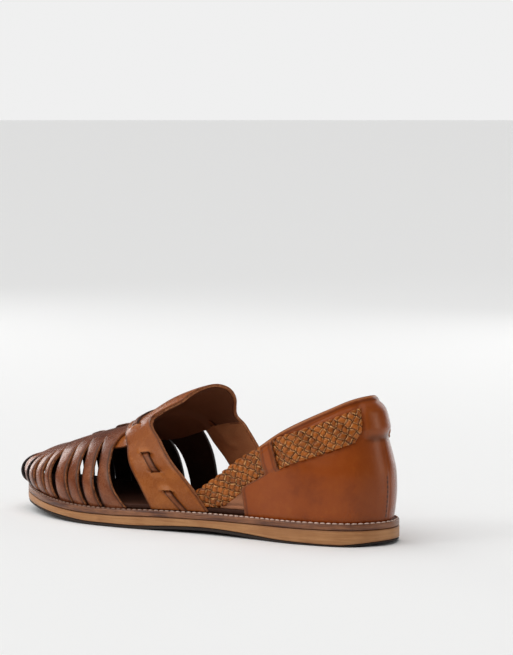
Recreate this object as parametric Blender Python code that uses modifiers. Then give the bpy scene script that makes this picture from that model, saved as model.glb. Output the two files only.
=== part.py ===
"""A left fisherman sandal: leather strips, an instep saddle and a closed heel on a stitched sole.

Every piece of the upper lies on one last.  The last is a family of ribs: each rib starts at a point of the
feather line, where upper and sole meet, and rises to the spine, the line along the top of the foot.  A place
on the last is therefore two numbers: the arc, in mm along the feather line from the centre of the heel
(positive up the outer side, negative up the inner side), and the rise, in mm up the rib from the sole.

Tables and places are in millimetres measured from the back of the heel, X to the toe, Y to the outer side,
Z up from the floor.  `to_world` turns them into metres about the middle of the shoe.
"""
import bpy
import bmesh
import numpy as np

MM = 0.001
LENGTH = 298.0                  # sole, heel to toe
UPPER_REACH = 1.6               # how far the toe strips stand out past the sole
MID_Y = 1.75                    # the sole's middle, because the ball is wider on the outer side
GAP = 0.3                       # air between pieces that touch

LEATHER = 1.8                   # wall of the upper
TREAD = 2.0
MIDSOLE = 3.8
INSOLE = 3.0
ARCH_RISE = 2.2                 # of the waist above the floor
HEEL_FLAT_END = 62.0
BALL_FLAT_START = 172.0
BALL_FLAT_END = 205.0
TOE_SPRING = 8.2

# The sole's outline: a closed smooth curve from the heel, up the outer side, round the toe and back.
SOLE_OUTLINE = np.array([
    # x, y
    (0, 0), (9, 23), (42, 36), (80, 37.5), (115, 39.5), (150, 45), (185, 50.5), (205, 51.5),
    (226, 49.2), (246, 43.5), (265, 34.5), (281, 23.5), (292, 11), (298, -4), (291, -22),
    (276, -35), (258, -42.5), (236, -46.8), (213, -48), (188, -46), (160, -40.5), (128, -34),
    (95, -31.5), (60, -32.5), (32, -31.5), (9, -20)], float)

# Along the sole: the height of its top, and how far the upper's foot stands in from its edge.
SOLE_TOP = np.array([
    # x, height
    (0, 14.2), (60, 13.6), (110, 13.2), (150, 12.6), (190, 11.4), (215, 11.4),
    (240, 12.6), (265, 14.8), (291, 17.5), (299, 18.2)], float)
LEDGE = np.array([
    # x, inset
    (0, 3.6), (60, 4.0), (200, 4.0), (245, 3.2), (275, 2.0), (299, 1.6)], float)

# Cross-sections of the last at stations of the spine.
SECTIONS = np.array([
    # station, spine height, spine y, squareness, side bulge
    (38, 116, 0, 2.65, 3.6),
    (80, 112, 0, 2.70, 2.5),
    (115, 97.2, -1, 2.40, 2.0),
    (143, 88.4, -2, 2.10, 1.5),
    (170, 79.3, -3, 2.03, 1.5),
    (200, 63.8, -4, 2.03, 2.0),
    (225, 56.7, -4, 2.15, 2.0),
    (245, 50.5, -4, 2.15, 3.0),
    (262, 44.5, -3, 1.85, 6.5)], float)
# The heel cup curves in above its fullest place.
HEEL_CURVE = np.array([
    # height, how far it lies inside the plain section
    (0, 0), (36, 0), (46, 0.9), (54, 1.9), (62, 2.0), (76, 1.1), (84, 1.7), (91, 1.7), (120, 1.7)], float)
HEEL_CURVE_FADES = 25, 70       # between these x of a rib's foot
# Which spine station a rib from feather point x rises to: ribs fan out round heel and toe.
FAN = np.array([
    # x, station
    (0, 38), (20, 40), (45, 48), (80, 80), (225, 225), (255, 246), (280, 259), (298, 262)], float)

RIB_STEPS = 40
OUTLINE_STEPS = 1440


def curve(table, at, column=1):
    """A smooth curve through a table's rows: cubics whose slope at each row is that of its neighbours."""
    x, y = table[:, 0], table[:, column]
    slope = np.gradient(y, x)
    row = np.clip(np.searchsorted(x, at, side="right") - 1, 0, len(x) - 2)
    step = x[row + 1] - x[row]
    u = np.clip((at - x[row]) / step, 0, 1)
    rising = u * u * (3 - 2 * u)
    return (y[row] * (1 - rising) + y[row + 1] * rising
            + u * (1 - u) * step * ((1 - u) * slope[row] - u * slope[row + 1]))


def lines(table, at, column=1):
    """Straight runs between a table's rows."""
    return np.interp(at, table[:, 0], table[:, column])


def smooth_step(x, start, end):
    """0 before start, 1 after end, and a soft S between."""
    u = np.clip((x - start) / (end - start), 0, 1)
    return u * u * (3 - 2 * u)


def closed_curve(rows, steps):
    """Points at equal distances along the closed smooth curve through rows."""
    ring = np.vstack([rows[-3:], rows, rows[:4]])
    along = np.r_[0, np.cumsum(np.linalg.norm(np.diff(ring, axis=0), axis=1))]
    at = np.linspace(along[3], along[3 + len(rows)], 4 * steps)
    fine = np.stack([curve(np.c_[along, ring], at, 1), curve(np.c_[along, ring], at, 2)], axis=1)
    length = np.r_[0, np.cumsum(np.linalg.norm(np.diff(fine, axis=0), axis=1))]
    even = np.linspace(0, length[-1], steps + 1)[:-1]
    return np.stack([np.interp(even, length, fine[:, 0]), np.interp(even, length, fine[:, 1])], axis=1)


SOLE_EDGE = closed_curve(SOLE_OUTLINE, OUTLINE_STEPS)
_travel = np.roll(SOLE_EDGE, -1, axis=0) - np.roll(SOLE_EDGE, 1, axis=0)
_travel /= np.linalg.norm(_travel, axis=1)[:, None]
EDGE_OUT = np.stack([-_travel[:, 1], _travel[:, 0]], axis=1)

FEATHER = SOLE_EDGE - EDGE_OUT * curve(LEDGE, SOLE_EDGE[:, 0])[:, None]
FEATHER_RING = np.vstack([FEATHER, FEATHER[:1]])
FEATHER_ARC = np.r_[0, np.cumsum(np.linalg.norm(np.diff(FEATHER_RING, axis=0), axis=1))]
GIRTH_ROUND = FEATHER_ARC[-1]


def sole_bottom(x):
    """Height of the tread's underside: flat at heel and ball, arched at the waist, sprung at the toe."""
    waist = np.clip((x - HEEL_FLAT_END) / (BALL_FLAT_START - HEEL_FLAT_END), 0, 1)
    toe = np.clip((x - BALL_FLAT_END) / (LENGTH - BALL_FLAT_END), 0, 1)
    return ARCH_RISE * np.sin(np.pi * waist) ** 1.5 + TOE_SPRING * toe ** 1.3


def feather_point(arc):
    """The point of the feather line this far round from the centre of the heel."""
    arc = np.mod(arc, GIRTH_ROUND)
    return np.stack([np.interp(arc, FEATHER_ARC, FEATHER_RING[:, 0]),
                     np.interp(arc, FEATHER_ARC, FEATHER_RING[:, 1])], axis=-1)


def ribs(arc):
    """For each arc, the rib's points from feather to spine, and its length.

    A rib is a superellipse quarter: cos and sin of an angle raised to 2 / squareness, with a bulge that
    swells its side and dies out at foot and spine, and with the heel cup's curve near the heel.
    """
    arc = np.asarray(arc, float)
    foot = feather_point(arc)
    station = curve(FAN, foot[..., 0])
    height, spine_y, square, bulge = (curve(SECTIONS, station, c)[..., None] for c in (1, 2, 3, 4))
    low = curve(SOLE_TOP, foot[..., 0])[..., None]
    angle = np.linspace(0, np.pi / 2, RIB_STEPS + 1)
    out = np.clip(np.cos(angle), 0, 1) ** (2 / square)
    up = np.sin(angle) ** (2 / square)
    spine = np.stack([station, spine_y[..., 0]], axis=-1)
    reach = np.linalg.norm(foot - spine, axis=-1)[..., None]
    away = (foot - spine) / reach
    z = low + (height - low) * up
    near_heel = 1 - smooth_step(foot[..., 0], *HEEL_CURVE_FADES)[..., None]
    side = (reach + 4 * bulge * up * (1 - up) - curve(HEEL_CURVE, z) * near_heel) * out
    points = np.stack([spine[..., 0:1] + away[..., 0:1] * side,
                       spine[..., 1:2] + away[..., 1:2] * side, z], axis=-1)
    steps = np.linalg.norm(np.diff(points, axis=-2), axis=-1)
    along = np.concatenate([np.zeros(steps.shape[:-1] + (1,)), np.cumsum(steps, axis=-1)], axis=-1)
    return points, along


def girth(arc):
    """Length of the rib that starts at arc."""
    return ribs(arc)[1][..., -1]


def on_last(arc, rise):
    """Points of the last at arc and rise."""
    points, along = ribs(arc)
    rise = np.clip(np.broadcast_to(rise, np.shape(arc)), 0, along[..., -1])[..., None]
    index = np.clip((along < rise).sum(axis=-1, keepdims=True), 1, RIB_STEPS)
    before = np.take_along_axis(along, index - 1, axis=-1)
    after = np.take_along_axis(along, index, axis=-1)
    part = ((rise - before) / (after - before))[..., None]
    low = np.take_along_axis(points, (index - 1)[..., None], axis=-2)
    high = np.take_along_axis(points, index[..., None], axis=-2)
    return (low * (1 - part) + high * part)[..., 0, :]


def outward(arc, rise):
    """Unit normals of the last, pointing away from the foot."""
    step = 1.0
    rise = np.clip(np.broadcast_to(rise, np.shape(arc)), 0, girth(arc) - 2 * step)
    forward = on_last(arc + step, rise) - on_last(arc - step, rise)
    upward = on_last(arc, rise + step) - on_last(arc, np.maximum(rise - step, 0))
    normal = np.cross(upward, forward)
    return normal / np.linalg.norm(normal, axis=-1)[..., None]


def layer(arc, rise, lift):
    """Points this far above the last: lift 0 is the outer face of the main leather."""
    return on_last(arc, rise) + outward(arc, rise) * np.broadcast_to(lift, np.shape(arc))[..., None]


def to_world(points):
    """From millimetres at the heel to metres about the middle of the shoe."""
    return (np.asarray(points) - [(LENGTH + UPPER_REACH) / 2, MID_Y, 0]) * MM


# ---------------------------------------------------------------- Blender helpers

def clear_scene():
    for old in list(bpy.data.objects):
        bpy.data.objects.remove(old, do_unlink=True)


def collection(name):
    made = bpy.data.collections.new(name)
    bpy.context.scene.collection.children.link(made)
    return made


def material(name, colour, roughness):
    made = bpy.data.materials.new(name)
    made.use_nodes = True
    shader = made.node_tree.nodes["Principled BSDF"]
    shader.inputs["Base Color"].default_value = (*colour, 1)
    shader.inputs["Roughness"].default_value = roughness
    shader.inputs["Metallic"].default_value = 0
    return made


def mesh_object(name, points, faces, group, look=None):
    mesh = bpy.data.meshes.new(name)
    mesh.from_pydata(to_world(points).tolist(), [], faces)
    mesh.update()
    made = bpy.data.objects.new(name, mesh)
    group.objects.link(made)
    if look is not None:
        mesh.materials.append(look)
        mesh.shade_smooth()
        mesh.set_sharp_from_angle(angle=0.7)
    return made


def grid_faces(rows, columns, start=0, keep=lambda row, column: True):
    """Quads of a grid of points numbered row by row from start.

    They face out where rows follow the arc and columns the rise.
    """
    return [(start + r * columns + c, start + r * columns + c + 1,
             start + (r + 1) * columns + c + 1, start + (r + 1) * columns + c)
            for r in range(rows - 1) for c in range(columns - 1) if keep(r, c)]


def thicken(piece, wall, even=True):
    """Give an open surface its wall, inwards from the face that was drawn."""
    shell = piece.modifiers.new("wall", "SOLIDIFY")
    shell.thickness = wall * MM
    shell.offset = -1
    shell.use_even_offset = even
    return piece


def sheet(name, points, wall, group, look):
    """A leather piece from a grid of points on its outer face."""
    rows, columns = points.shape[:2]
    piece = mesh_object(name, points.reshape(-1, 3), grid_faces(rows, columns), group, look)
    return thicken(piece, wall)


def cut(piece, cutter):
    hole = piece.modifiers.new(cutter.name, "BOOLEAN")
    hole.operation = "DIFFERENCE"
    hole.solver = "EXACT"
    hole.object = cutter
    cutter.hide_render = True
    cutter.display_type = "WIRE"


def slot_cutter(name, outer_face, depth, group):
    """A closed block under a small grid of points, to cut through a wall."""
    piece = mesh_object(name, outer_face.reshape(-1, 3), grid_faces(*outer_face.shape[:2]), group)
    return thicken(piece, depth)


# ---------------------------------------------------------------- the sole

SOLE_STATIONS = 38


def edge_stations(inset):
    """The sole's edge drawn in by inset: stations close together at both ends, with both sides' y."""
    ring = SOLE_EDGE - EDGE_OUT * inset
    first, last = ring[:, 0].min(), ring[:, 0].max()
    turn = np.argmax(ring[:, 0])
    outer, inner = ring[:turn + 1], np.vstack([ring[turn:], ring[:1]])[::-1]
    x = first + (last - first) * (1 - np.cos(np.linspace(0, np.pi, SOLE_STATIONS))) / 2
    outer_y = np.interp(x, np.maximum.accumulate(outer[:, 0]), outer[:, 1])
    inner_y = np.interp(x, np.maximum.accumulate(inner[:, 0]), inner[:, 1])
    return x, outer_y, inner_y


def sole_layer(name, rings, group, look):
    """A slab of the sole: rings from the bottom up, each an inset from the edge and a height over x.

    Both faces are strips of quads from side to side, and the wall joins ring to ring.
    """
    points, faces = [], []
    count = SOLE_STATIONS
    for inset, height in rings:
        x, outer_y, inner_y = edge_stations(inset)
        z = height(x)
        points += [np.stack([x, outer_y, z], axis=1), np.stack([x, inner_y, z], axis=1)]
    top = 2 * count * (len(rings) - 1)
    for k in range(count - 1):
        faces.append((k, k + 1, count + k + 1, count + k))
        faces.append((top + k, top + count + k, top + count + k + 1, top + k + 1))
        for ring in range(len(rings) - 1):
            low, high = 2 * count * ring, 2 * count * (ring + 1)
            faces.append((low + k, high + k, high + k + 1, low + k + 1))
            low, high = low + count, high + count
            faces.append((low + k, low + k + 1, high + k + 1, high + k))
    slab = mesh_object(name, np.vstack(points), faces, group, look)
    tidy = bmesh.new()
    tidy.from_mesh(slab.data)
    bmesh.ops.remove_doubles(tidy, verts=tidy.verts, dist=0.02 * MM)
    bmesh.ops.triangulate(tidy, faces=tidy.faces)
    tidy.to_mesh(slab.data)
    tidy.free()
    return slab


def welt_top(x):
    return curve(SOLE_TOP, x)


def outsole_top(x):
    return welt_top(x) - MIDSOLE - GAP


def build_sole(group):
    rubber = material("black_rubber", (0.02, 0.018, 0.016), 0.7)
    stacked = material("stacked_leather", (0.52, 0.28, 0.13), 0.5)
    dark_welt = material("dark_welt", (0.12, 0.05, 0.03), 0.5)
    lining = material("insole_leather", (0.20, 0.10, 0.06), 0.6)
    sole_layer("tread", [
        (1.4, sole_bottom),
        (0.5, lambda x: sole_bottom(x) + 0.6),
        (0.3, lambda x: sole_bottom(x) + TREAD)], group, rubber)
    sole_layer("outsole", [
        (0.4, lambda x: sole_bottom(x) + TREAD + GAP),
        (0.0, lambda x: sole_bottom(x) + TREAD + GAP + 0.9),
        (0.0, lambda x: outsole_top(x) - 0.9),
        (0.3, outsole_top)], group, stacked)
    sole_layer("midsole_welt", [
        (0.5, lambda x: outsole_top(x) + GAP),
        (0.1, lambda x: outsole_top(x) + GAP + 0.8),
        (0.0, lambda x: welt_top(x) - 1.0),
        (0.6, welt_top)], group, dark_welt)
    inside = 4.0 + LEATHER + 2.5 * GAP
    sole_layer("insole", [
        (inside, lambda x: welt_top(x) + GAP),
        (inside, lambda x: welt_top(x) + GAP + INSOLE - 0.6),
        (inside + 0.7, lambda x: welt_top(x) + GAP + INSOLE)], group, lining)


# ---------------------------------------------------------------- the quarter: heel and sides

# Height of the collar above the sole, from the centre of the heel forwards.
COLLAR = np.array([
    # arc, rise
    (0, 78.8), (10, 78.2), (25, 75.8), (39, 71), (59, 62.2), (74, 54.2), (90, 44), (104, 35)], float)
# The quarter's front end, from the sole up to the collar: a lobe below, the bridge over the strap above.
QUARTER_FRONT = np.array([
    # share of the collar's rise, arc
    (0, 101.6), (0.27, 102.4), (0.496, 103.2), (0.53, 95), (0.56, 87), (0.58, 84.3), (0.62, 84.8),
    (0.74, 87.2), (1, 89.8)], float)
QUARTER_LEVELS = np.array([
    0, 0.13, 0.27, 0.39, 0.496, 0.53, 0.56, 0.58, 0.64, 0.68, 0.76, 0.84, 0.92, 0.96, 1])
QUARTER_COLUMNS = 37
FOOT_GAP = 0.3                  # the upper's foot above the welt

TAB_HALF_WIDTH = 16.0           # the padded tab at the top of the heel
TAB_FOOT = 51.5, 58.0           # rises over which the padding swells and dies out again
TAB_HEAD = 67.0, 79.0
TAB_LIFT = 2.6


def collar_rise(arc):
    return curve(COLLAR, np.abs(arc))


def tab_lift(arc, rise):
    """The heel tab's padding: a low pillow with a soft edge."""
    across = 1 - smooth_step(np.abs(arc), TAB_HALF_WIDTH - 3, TAB_HALF_WIDTH + 1.5)
    return TAB_LIFT * across * smooth_step(rise, *TAB_FOOT) * (1 - smooth_step(rise, *TAB_HEAD))


def build_quarter(group, cutters):
    tan = material("glossy_tan_leather", (0.42, 0.17, 0.055), 0.35)
    across = np.linspace(-1, 1, QUARTER_COLUMNS)[:, None]
    arc = across * lines(QUARTER_FRONT, QUARTER_LEVELS)[None, :]
    rise = FOOT_GAP + QUARTER_LEVELS[None, :] * (collar_rise(arc) - FOOT_GAP)
    quarter = sheet("quarter", layer(arc, rise, tab_lift(arc, rise)), LEATHER, group, tan)
    for side, name in ((1, "outer_slot"), (-1, "inner_slot")):
        cut(quarter, strap_slot(name, side, cutters))
    return quarter


# ---------------------------------------------------------------- the braided straps

# The middle of the strap, from its end beside the heel tab to its end at the sole under the saddle.
STRAP = np.array([
    # arc, rise
    (14, 62.6), (26, 58.6), (43, 52.8), (58, 47.5), (77, 40.4), (90, 34.5), (103, 28),
    (112, 21.6), (121, 15.2), (131, 8.5), (149, -3.6)], float)
STRAP_HALF_WIDTH = 9.0
BRAID_WALL = 1.4                # the thin parts of the braid; its raised strips stand BRAID_RELIEF higher
BRAID_RELIEF = 0.8
BRAID_ACROSS = 6                # half cells over the strap's width
BRAID_ALONG = 40
SLOT_ARC = 77.0                 # the strap dives through the quarter just behind this place
SLOT_LENGTH = 9.8
STRAP_FOOT = 4.0                # the strap ends just above the insole
STRAP_BACK = 5.0                # its rear end lies this far along the table's line
STRAP_BACK_SLANT = 0.36         # and leans by this share of the way across
STRAP_CORNER = 5.5              # cut off the rear end's lower corner


def strap_path(side):
    """The strap's middle line as functions of the distance along it: place, direction."""
    along = np.r_[0, np.cumsum(np.hypot(*np.diff(STRAP, axis=0).T))]
    arc_table, rise_table = np.c_[along, STRAP[:, 0]], np.c_[along, STRAP[:, 1]]

    def place(t, w):
        """Arc and rise at distance t along and w across, up to the collar positive."""
        step = 1.0
        heading = np.stack([curve(arc_table, t + step) - curve(arc_table, t - step),
                            curve(rise_table, t + step) - curve(rise_table, t - step)])
        heading /= np.hypot(*heading)
        return side * (curve(arc_table, t) - w * heading[1]), curve(rise_table, t) + w * heading[0]
    return place, along


def strap_distance(arc):
    """Distance along the strap's middle at which it passes this arc."""
    along = np.r_[0, np.cumsum(np.hypot(*np.diff(STRAP, axis=0).T))]
    return np.interp(arc, STRAP[:, 0], along)


def strap_end(w):
    """How far each thread across the strap runs before it meets the insole."""
    along = np.r_[0, np.cumsum(np.hypot(*np.diff(STRAP, axis=0).T))]
    slope = 0.83                # cosine of the strap's fall near the sole
    return np.interp(-(STRAP_FOOT - w * slope), -STRAP[:, 1], along)


def strap_start(w):
    """The rear end is square to the sole, with its lower corner cut off."""
    return STRAP_BACK - STRAP_BACK_SLANT * w + STRAP_CORNER * smooth_step(-w, 3, STRAP_HALF_WIDTH)


OVER_LIFT = GAP + 0.25 + BRAID_WALL                     # outer face of the braid's low parts on the quarter
UNDER_LIFT = -LEATHER - GAP - BRAID_RELIEF              # and inside it


def strap_lift(t):
    """The strap lies on the quarter, then dives through the slot and runs on inside it."""
    slot = strap_distance(SLOT_ARC)
    return OVER_LIFT + (UNDER_LIFT - OVER_LIFT) * smooth_step(t, slot - SLOT_LENGTH + 1.6, slot - 0.8)


def build_strap(name, side, group):
    braid = material("woven_golden_leather", (0.47, 0.22, 0.07), 0.45)
    w = np.linspace(-STRAP_HALF_WIDTH, STRAP_HALF_WIDTH, BRAID_ACROSS + 1)[None, :]
    share = np.linspace(0, 1, BRAID_ALONG + 1)[:, None]
    t = strap_start(w) + (strap_end(w) - strap_start(w)) * share
    arc, rise = strap_path(side)[0](t, w)
    row, column = np.indices(t.shape)
    raised = ((row + column) % 2) * BRAID_RELIEF
    points = layer(arc, rise, strap_lift(t) + raised)
    return sheet(name, points if side > 0 else points[::-1], BRAID_WALL, group, braid)


def strap_slot(name, side, cutters):
    """The slot in the quarter, a little wider than the strap."""
    slot = strap_distance(SLOT_ARC)
    t = np.linspace(slot - SLOT_LENGTH, slot, 4)[:, None]
    w = np.linspace(-STRAP_HALF_WIDTH - 0.8, STRAP_HALF_WIDTH + 0.8, 7)[None, :]
    arc, rise = strap_path(side)[0](t + 0 * w, w + 0 * t)
    outer_face = layer(arc, rise, 4.0)
    return slot_cutter(name, outer_face if side > 0 else outer_face[::-1], 10.0, cutters)


# ---------------------------------------------------------------- the vamp: strips from a plug over the toes

# Gaps between the strips, from the outer side round the toe to the inner side.
STRIP_GAPS = np.array([
    # arc at the sole, width, spine station it points to
    (208.5, 3.0, 219), (222, 3.2, 230), (235.5, 0.9, 241), (252.4, 5.6, 251), (265, 0.9, 258),
    (278.5, 0.9, 262), (291, 1.2, 262), (306.5, 7.0, 262), (321.5, 1.2, 262),
    (-322, 0.9, 262), (-308.5, 0.9, 262), (-296, 3.0, 262), (-286, 3.8, 262), (-272, 0.9, 258),
    (-259, 1.2, 251), (-243, 0.9, 241), (-227, 1.0, 230), (-209.5, 7.0, 219)], float)
VAMP_REAR_OUTER, VAMP_REAR_INNER = 193.0, -179.2        # rear edges of the last strips at the sole
VAMP_REAR_STATION = 193.0
# The outer rear edge bows more to the toe than the gaps do.
REAR_BOW = np.array([
    # rise, arc
    (0, -2), (3.4, -1), (7.4, 0), (12.5, 1.5), (17.4, 2.5), (22, 3.6), (27.3, 4.6), (35, 4.4),
    (43, 4.2), (52, 2.4), (60, 1)], float)
# Strips lean to the toe as they rise.
LEAN = np.array([
    # rise, arc
    (0, 0), (5, 3), (15, 7.5), (30, 11), (45, 16), (60, 21)], float)
INNER_LEAN = 0.4                # of the outer side's
PLUG_HALF_WIDTH = 27.0          # the uncut leather along the spine
GAP_AT_PLUG = 0.9               # width of a gap's closed end
TOE_GAP_GROWS = 245, 285        # between these x the gap above the welt grows threefold
STRIP_ROWS, PLUG_ROWS = 6, 4
STRIP_CROWN = 0.5
TOE_BULGE = 1.2
TOE_ARC = 327.0
TOE_FLARE = 2.6                 # the strip past the toe's wide gap stands off along its rear edge
TOE_FLARE_ARCS = 303, 310, 330  # it starts, is at its height and has died out
POLE = SECTIONS[-1, 0]          # the station where the ribs of the toe meet
PLUG_SPREAD = 1.5               # a gap's two edges reach the spine this far before and behind its station


def lean(arc, rise):
    """How far a place moves to the toe by the time it has risen this much."""
    outer = 1 - (1 + INNER_LEAN) * smooth_step(arc, 292, 362)
    return curve(LEAN, np.clip(rise, 0, 60)) * outer


def toe_lift(arc, rise, top):
    """The strips round the toe stand out past the sole."""
    start, height, end = TOE_FLARE_ARCS
    bulge = TOE_BULGE * np.exp(-((arc - TOE_ARC) / 24.0) ** 2)
    flare = TOE_FLARE * smooth_step(arc, start, height) * (1 - smooth_step(arc, height, end))
    return (bulge + flare) * np.sin(np.pi * np.clip(rise / top, 0, 1) ** 0.7) ** 1.2


OUTER_TURN = int(np.argmax(FEATHER[:, 0]))


def side_arc(x, side):
    """Arc of the feather point at x on the outer (1) or inner (-1) side."""
    if side > 0:
        return np.interp(x, FEATHER[:OUTER_TURN, 0], FEATHER_ARC[:OUTER_TURN])
    inner = FEATHER[OUTER_TURN:, 0][::-1], FEATHER_ARC[OUTER_TURN:-1][::-1] - GIRTH_ROUND
    return np.interp(x, *inner)


def station_arc(station, side):
    """Arc of the rib that rises to this station of the spine."""
    x = np.linspace(0, LENGTH, 2 * int(LENGTH))
    return side_arc(np.interp(station, curve(FAN, x), x), side)


def strip_edge(foot, width, station, edge):
    """One edge of a gap, as arcs and rises from sole to spine, its length up to the plug and its station.

    edge is 1 on the gap's far side along the arc and -1 on its near side.
    """
    side = 1 if foot < TOE_ARC else -1
    top = girth(np.array([foot]))[0] - PLUG_HALF_WIDTH
    arc_top = foot + lean(foot, top)
    top = girth(np.array([arc_top]))[0] - PLUG_HALF_WIDTH
    share = np.linspace(0, 1, STRIP_ROWS + 1)
    low = FOOT_GAP * (1 + 2 * smooth_step(feather_point(foot)[0], *TOE_GAP_GROWS))
    rise = low + share * (top - low)
    half_gap = edge * (width + (GAP_AT_PLUG - width) * share ** 3) / 2
    arc = foot + lean(foot, rise) + half_gap
    if foot == VAMP_REAR_OUTER:
        arc = arc + curve(REAR_BOW, rise)
    if station < POLE:
        station = station + edge * side * PLUG_SPREAD
        goal = np.mod(station_arc(station, side), GIRTH_ROUND)
    else:
        goal = arc[-1]
    inward = np.linspace(0, 1, PLUG_ROWS + 1)[1:]
    plug_arc = arc[-1] + (goal - arc[-1]) * inward
    reach = girth(plug_arc)
    at_top = top / girth(np.array([arc[-1]]))[0]
    plug_rise = reach * (at_top + (1 - at_top) * inward)
    return np.r_[arc, plug_arc], np.r_[rise, plug_rise], top, station


def build_vamp(group, cutters):
    brown = material("red_brown_leather", (0.36, 0.15, 0.075), 0.4)
    gaps = [(np.mod(arc, GIRTH_ROUND), width, station) for arc, width, station in STRIP_GAPS]
    edges = [strip_edge(VAMP_REAR_OUTER, 0, VAMP_REAR_STATION, 0)]
    for gap in gaps:
        edges += [strip_edge(*gap, -1), strip_edge(*gap, 1)]
    edges.append(strip_edge(VAMP_REAR_INNER + GIRTH_ROUND, 0, VAMP_REAR_STATION, 0))
    columns = []
    strip_part = np.r_[np.ones(STRIP_ROWS), np.zeros(PLUG_ROWS + 1)]
    for near, far in zip(edges[::2], edges[1::2]):
        for share in (0, 0.5, 1):
            arc, rise, top, station = (a + (b - a) * share for a, b in zip(near, far))
            crown = STRIP_CROWN * strip_part * (share == 0.5)
            column = layer(arc, rise, crown + toe_lift(arc, rise, top) * strip_part)
            column[-1] = station, curve(SECTIONS, station, 2), curve(SECTIONS, station, 1)
            columns.append(column)
    points = np.array(columns)
    faces = grid_faces(*points.shape[:2], keep=lambda row, column: row % 3 < 2 or column >= STRIP_ROWS)
    vamp = mesh_object("vamp", points.reshape(-1, 3), faces, group, brown)
    weld = bmesh.new()
    weld.from_mesh(vamp.data)
    bmesh.ops.remove_doubles(weld, verts=weld.verts, dist=0.1 * MM)
    weld.to_mesh(vamp.data)
    weld.free()
    thicken(vamp, LEATHER, even=False)
    for number, station in enumerate(VAMP_SLITS):
        t, d = thong_block(station, SLIT_LENGTH)
        cut(vamp, slot_cutter(f"vamp_slit_{number}", on_spine(t, d, 3.0), 8.0, cutters))
    return vamp


# ---------------------------------------------------------------- the thong laced down the vamp

VAMP_SLITS = (215.0, 227.0, 237.0, 248.0)               # spine stations
VAMP_THONG = (205.0, 257.0)
SLIT_LENGTH = 6.0
THONG_WIDTH = 5.5
THONG_WALL = 1.2
SLIT_PART = 0.44                # the thong changes sides within this share of a slit either way


def on_spine(station, d, lift):
    """A place d from the spine, to the inner side positive, measured over the surface."""
    arc = np.where(d <= 0, station_arc(station, 1), station_arc(station, -1))
    return layer(arc, girth(arc) - np.abs(d), lift)


def thong_block(middle, length):
    """Places round one slit, a little wider than the thong: along it in rows, across it in columns."""
    along = middle + np.linspace(-0.5, 0.5, 3)[:, None] * length
    across = np.linspace(-0.5, 0.5, 5)[None, :] * (THONG_WIDTH + 1.8)
    return np.broadcast_arrays(along, across)


def thong_stations(between, slits, length):
    """Stations along a thong: four over each slit, and those between that keep clear of the slits."""
    at_slits = [slit + part * length for slit in slits for part in (-SLIT_PART, -0.16, 0.16, SLIT_PART)]
    clear = [t for t in between if min(abs(t - slit) for slit in slits) > 0.6 * length]
    return np.array(sorted([*at_slits, *clear]))


def laced(t, slits, length, starts_over):
    """1 where the thong runs over the leather and 0 where it runs under: it swaps at every slit."""
    swap = -1.0 if starts_over else 1.0
    state = np.full(np.shape(t), float(starts_over))
    for slit in slits:
        state += swap * smooth_step(t, slit - SLIT_PART * length, slit + SLIT_PART * length)
        swap = -swap
    return state


def build_vamp_thong(group):
    dark = material("dark_thong_leather", (0.24, 0.10, 0.045), 0.45)
    t = thong_stations(np.linspace(*VAMP_THONG, 14), VAMP_SLITS, SLIT_LENGTH)
    over, under = GAP + THONG_WALL, -LEATHER - GAP
    lift = under + (over - under) * laced(t, VAMP_SLITS, SLIT_LENGTH, starts_over=False)
    d = np.linspace(-0.5, 0.5, 3)[None, :] * THONG_WIDTH
    t, lift = t[:, None], lift[:, None]
    points = on_spine(t + 0 * d, d + 0 * t, lift + 0 * d)
    return sheet("vamp_thong", points, THONG_WALL, group, dark)


# ---------------------------------------------------------------- the saddle over the instep, with its tongue

# Across the foot: 1 at the outer sole, 0 on the spine, -1 at the inner sole; x is that of the rib's foot.
SADDLE_FRONT = np.array([
    # across, x
    (-1, 141), (-0.85, 148), (-0.71, 156.7), (-0.594, 164), (-0.523, 167.5), (-0.456, 170.5),
    (-0.4, 173), (-0.35, 178), (-0.28, 187), (-0.155, 199), (0, 204),
    (0.15, 201), (0.31, 194), (0.47, 186.2), (0.66, 177.8), (0.83, 167.2), (1, 158.5)], float)
SADDLE_REAR = np.array([
    # across, x
    (-1, 106), (-0.8, 116), (-0.6, 127.5), (-0.44, 136), (-0.36, 142), (-0.3, 140.5), (-0.245, 138),
    (-0.155, 137), (-0.05, 140), (0.07, 145.5), (0.15, 149.5), (0.21, 153), (0.25, 163), (0.28, 170.6),
    (0.33, 170.6), (0.51, 158.5), (0.66, 147), (0.83, 131), (1, 117.5)], float)
SADDLE_ROWS = np.array([
    -1, -0.9, -0.8, -0.7, -0.6, -0.52, -0.44, -0.36, -0.3, -0.245, -0.2, -0.155, -0.1, -0.05, 0,
    0.05, 0.1, 0.15, 0.21, 0.25, 0.28, 0.33, 0.4, 0.46, 0.51, 0.58, 0.66, 0.74, 0.83, 0.92, 1])
SADDLE_COLUMNS = 8
SADDLE_GAP = 0.6                # air between the saddle and the vamp's sharp ridge
CLEARS_PLUG = 30.0              # within this of the spine the saddle lies over the vamp
AT_SIDE_LEVEL = 46.0            # and from here down it is level with it


def saddle_place(across, x, extra=0.0):
    """A place on the saddle's outer face, with extra height above it."""
    arc = np.where(across >= 0, side_arc(x, 1), side_arc(x, -1))
    full = girth(arc)
    rise = FOOT_GAP + (1 - np.abs(across)) * (full - FOOT_GAP)
    lift = (SADDLE_GAP + LEATHER) * (1 - smooth_step(full - rise, CLEARS_PLUG, AT_SIDE_LEVEL))
    return layer(arc, rise, lift + extra)


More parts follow.
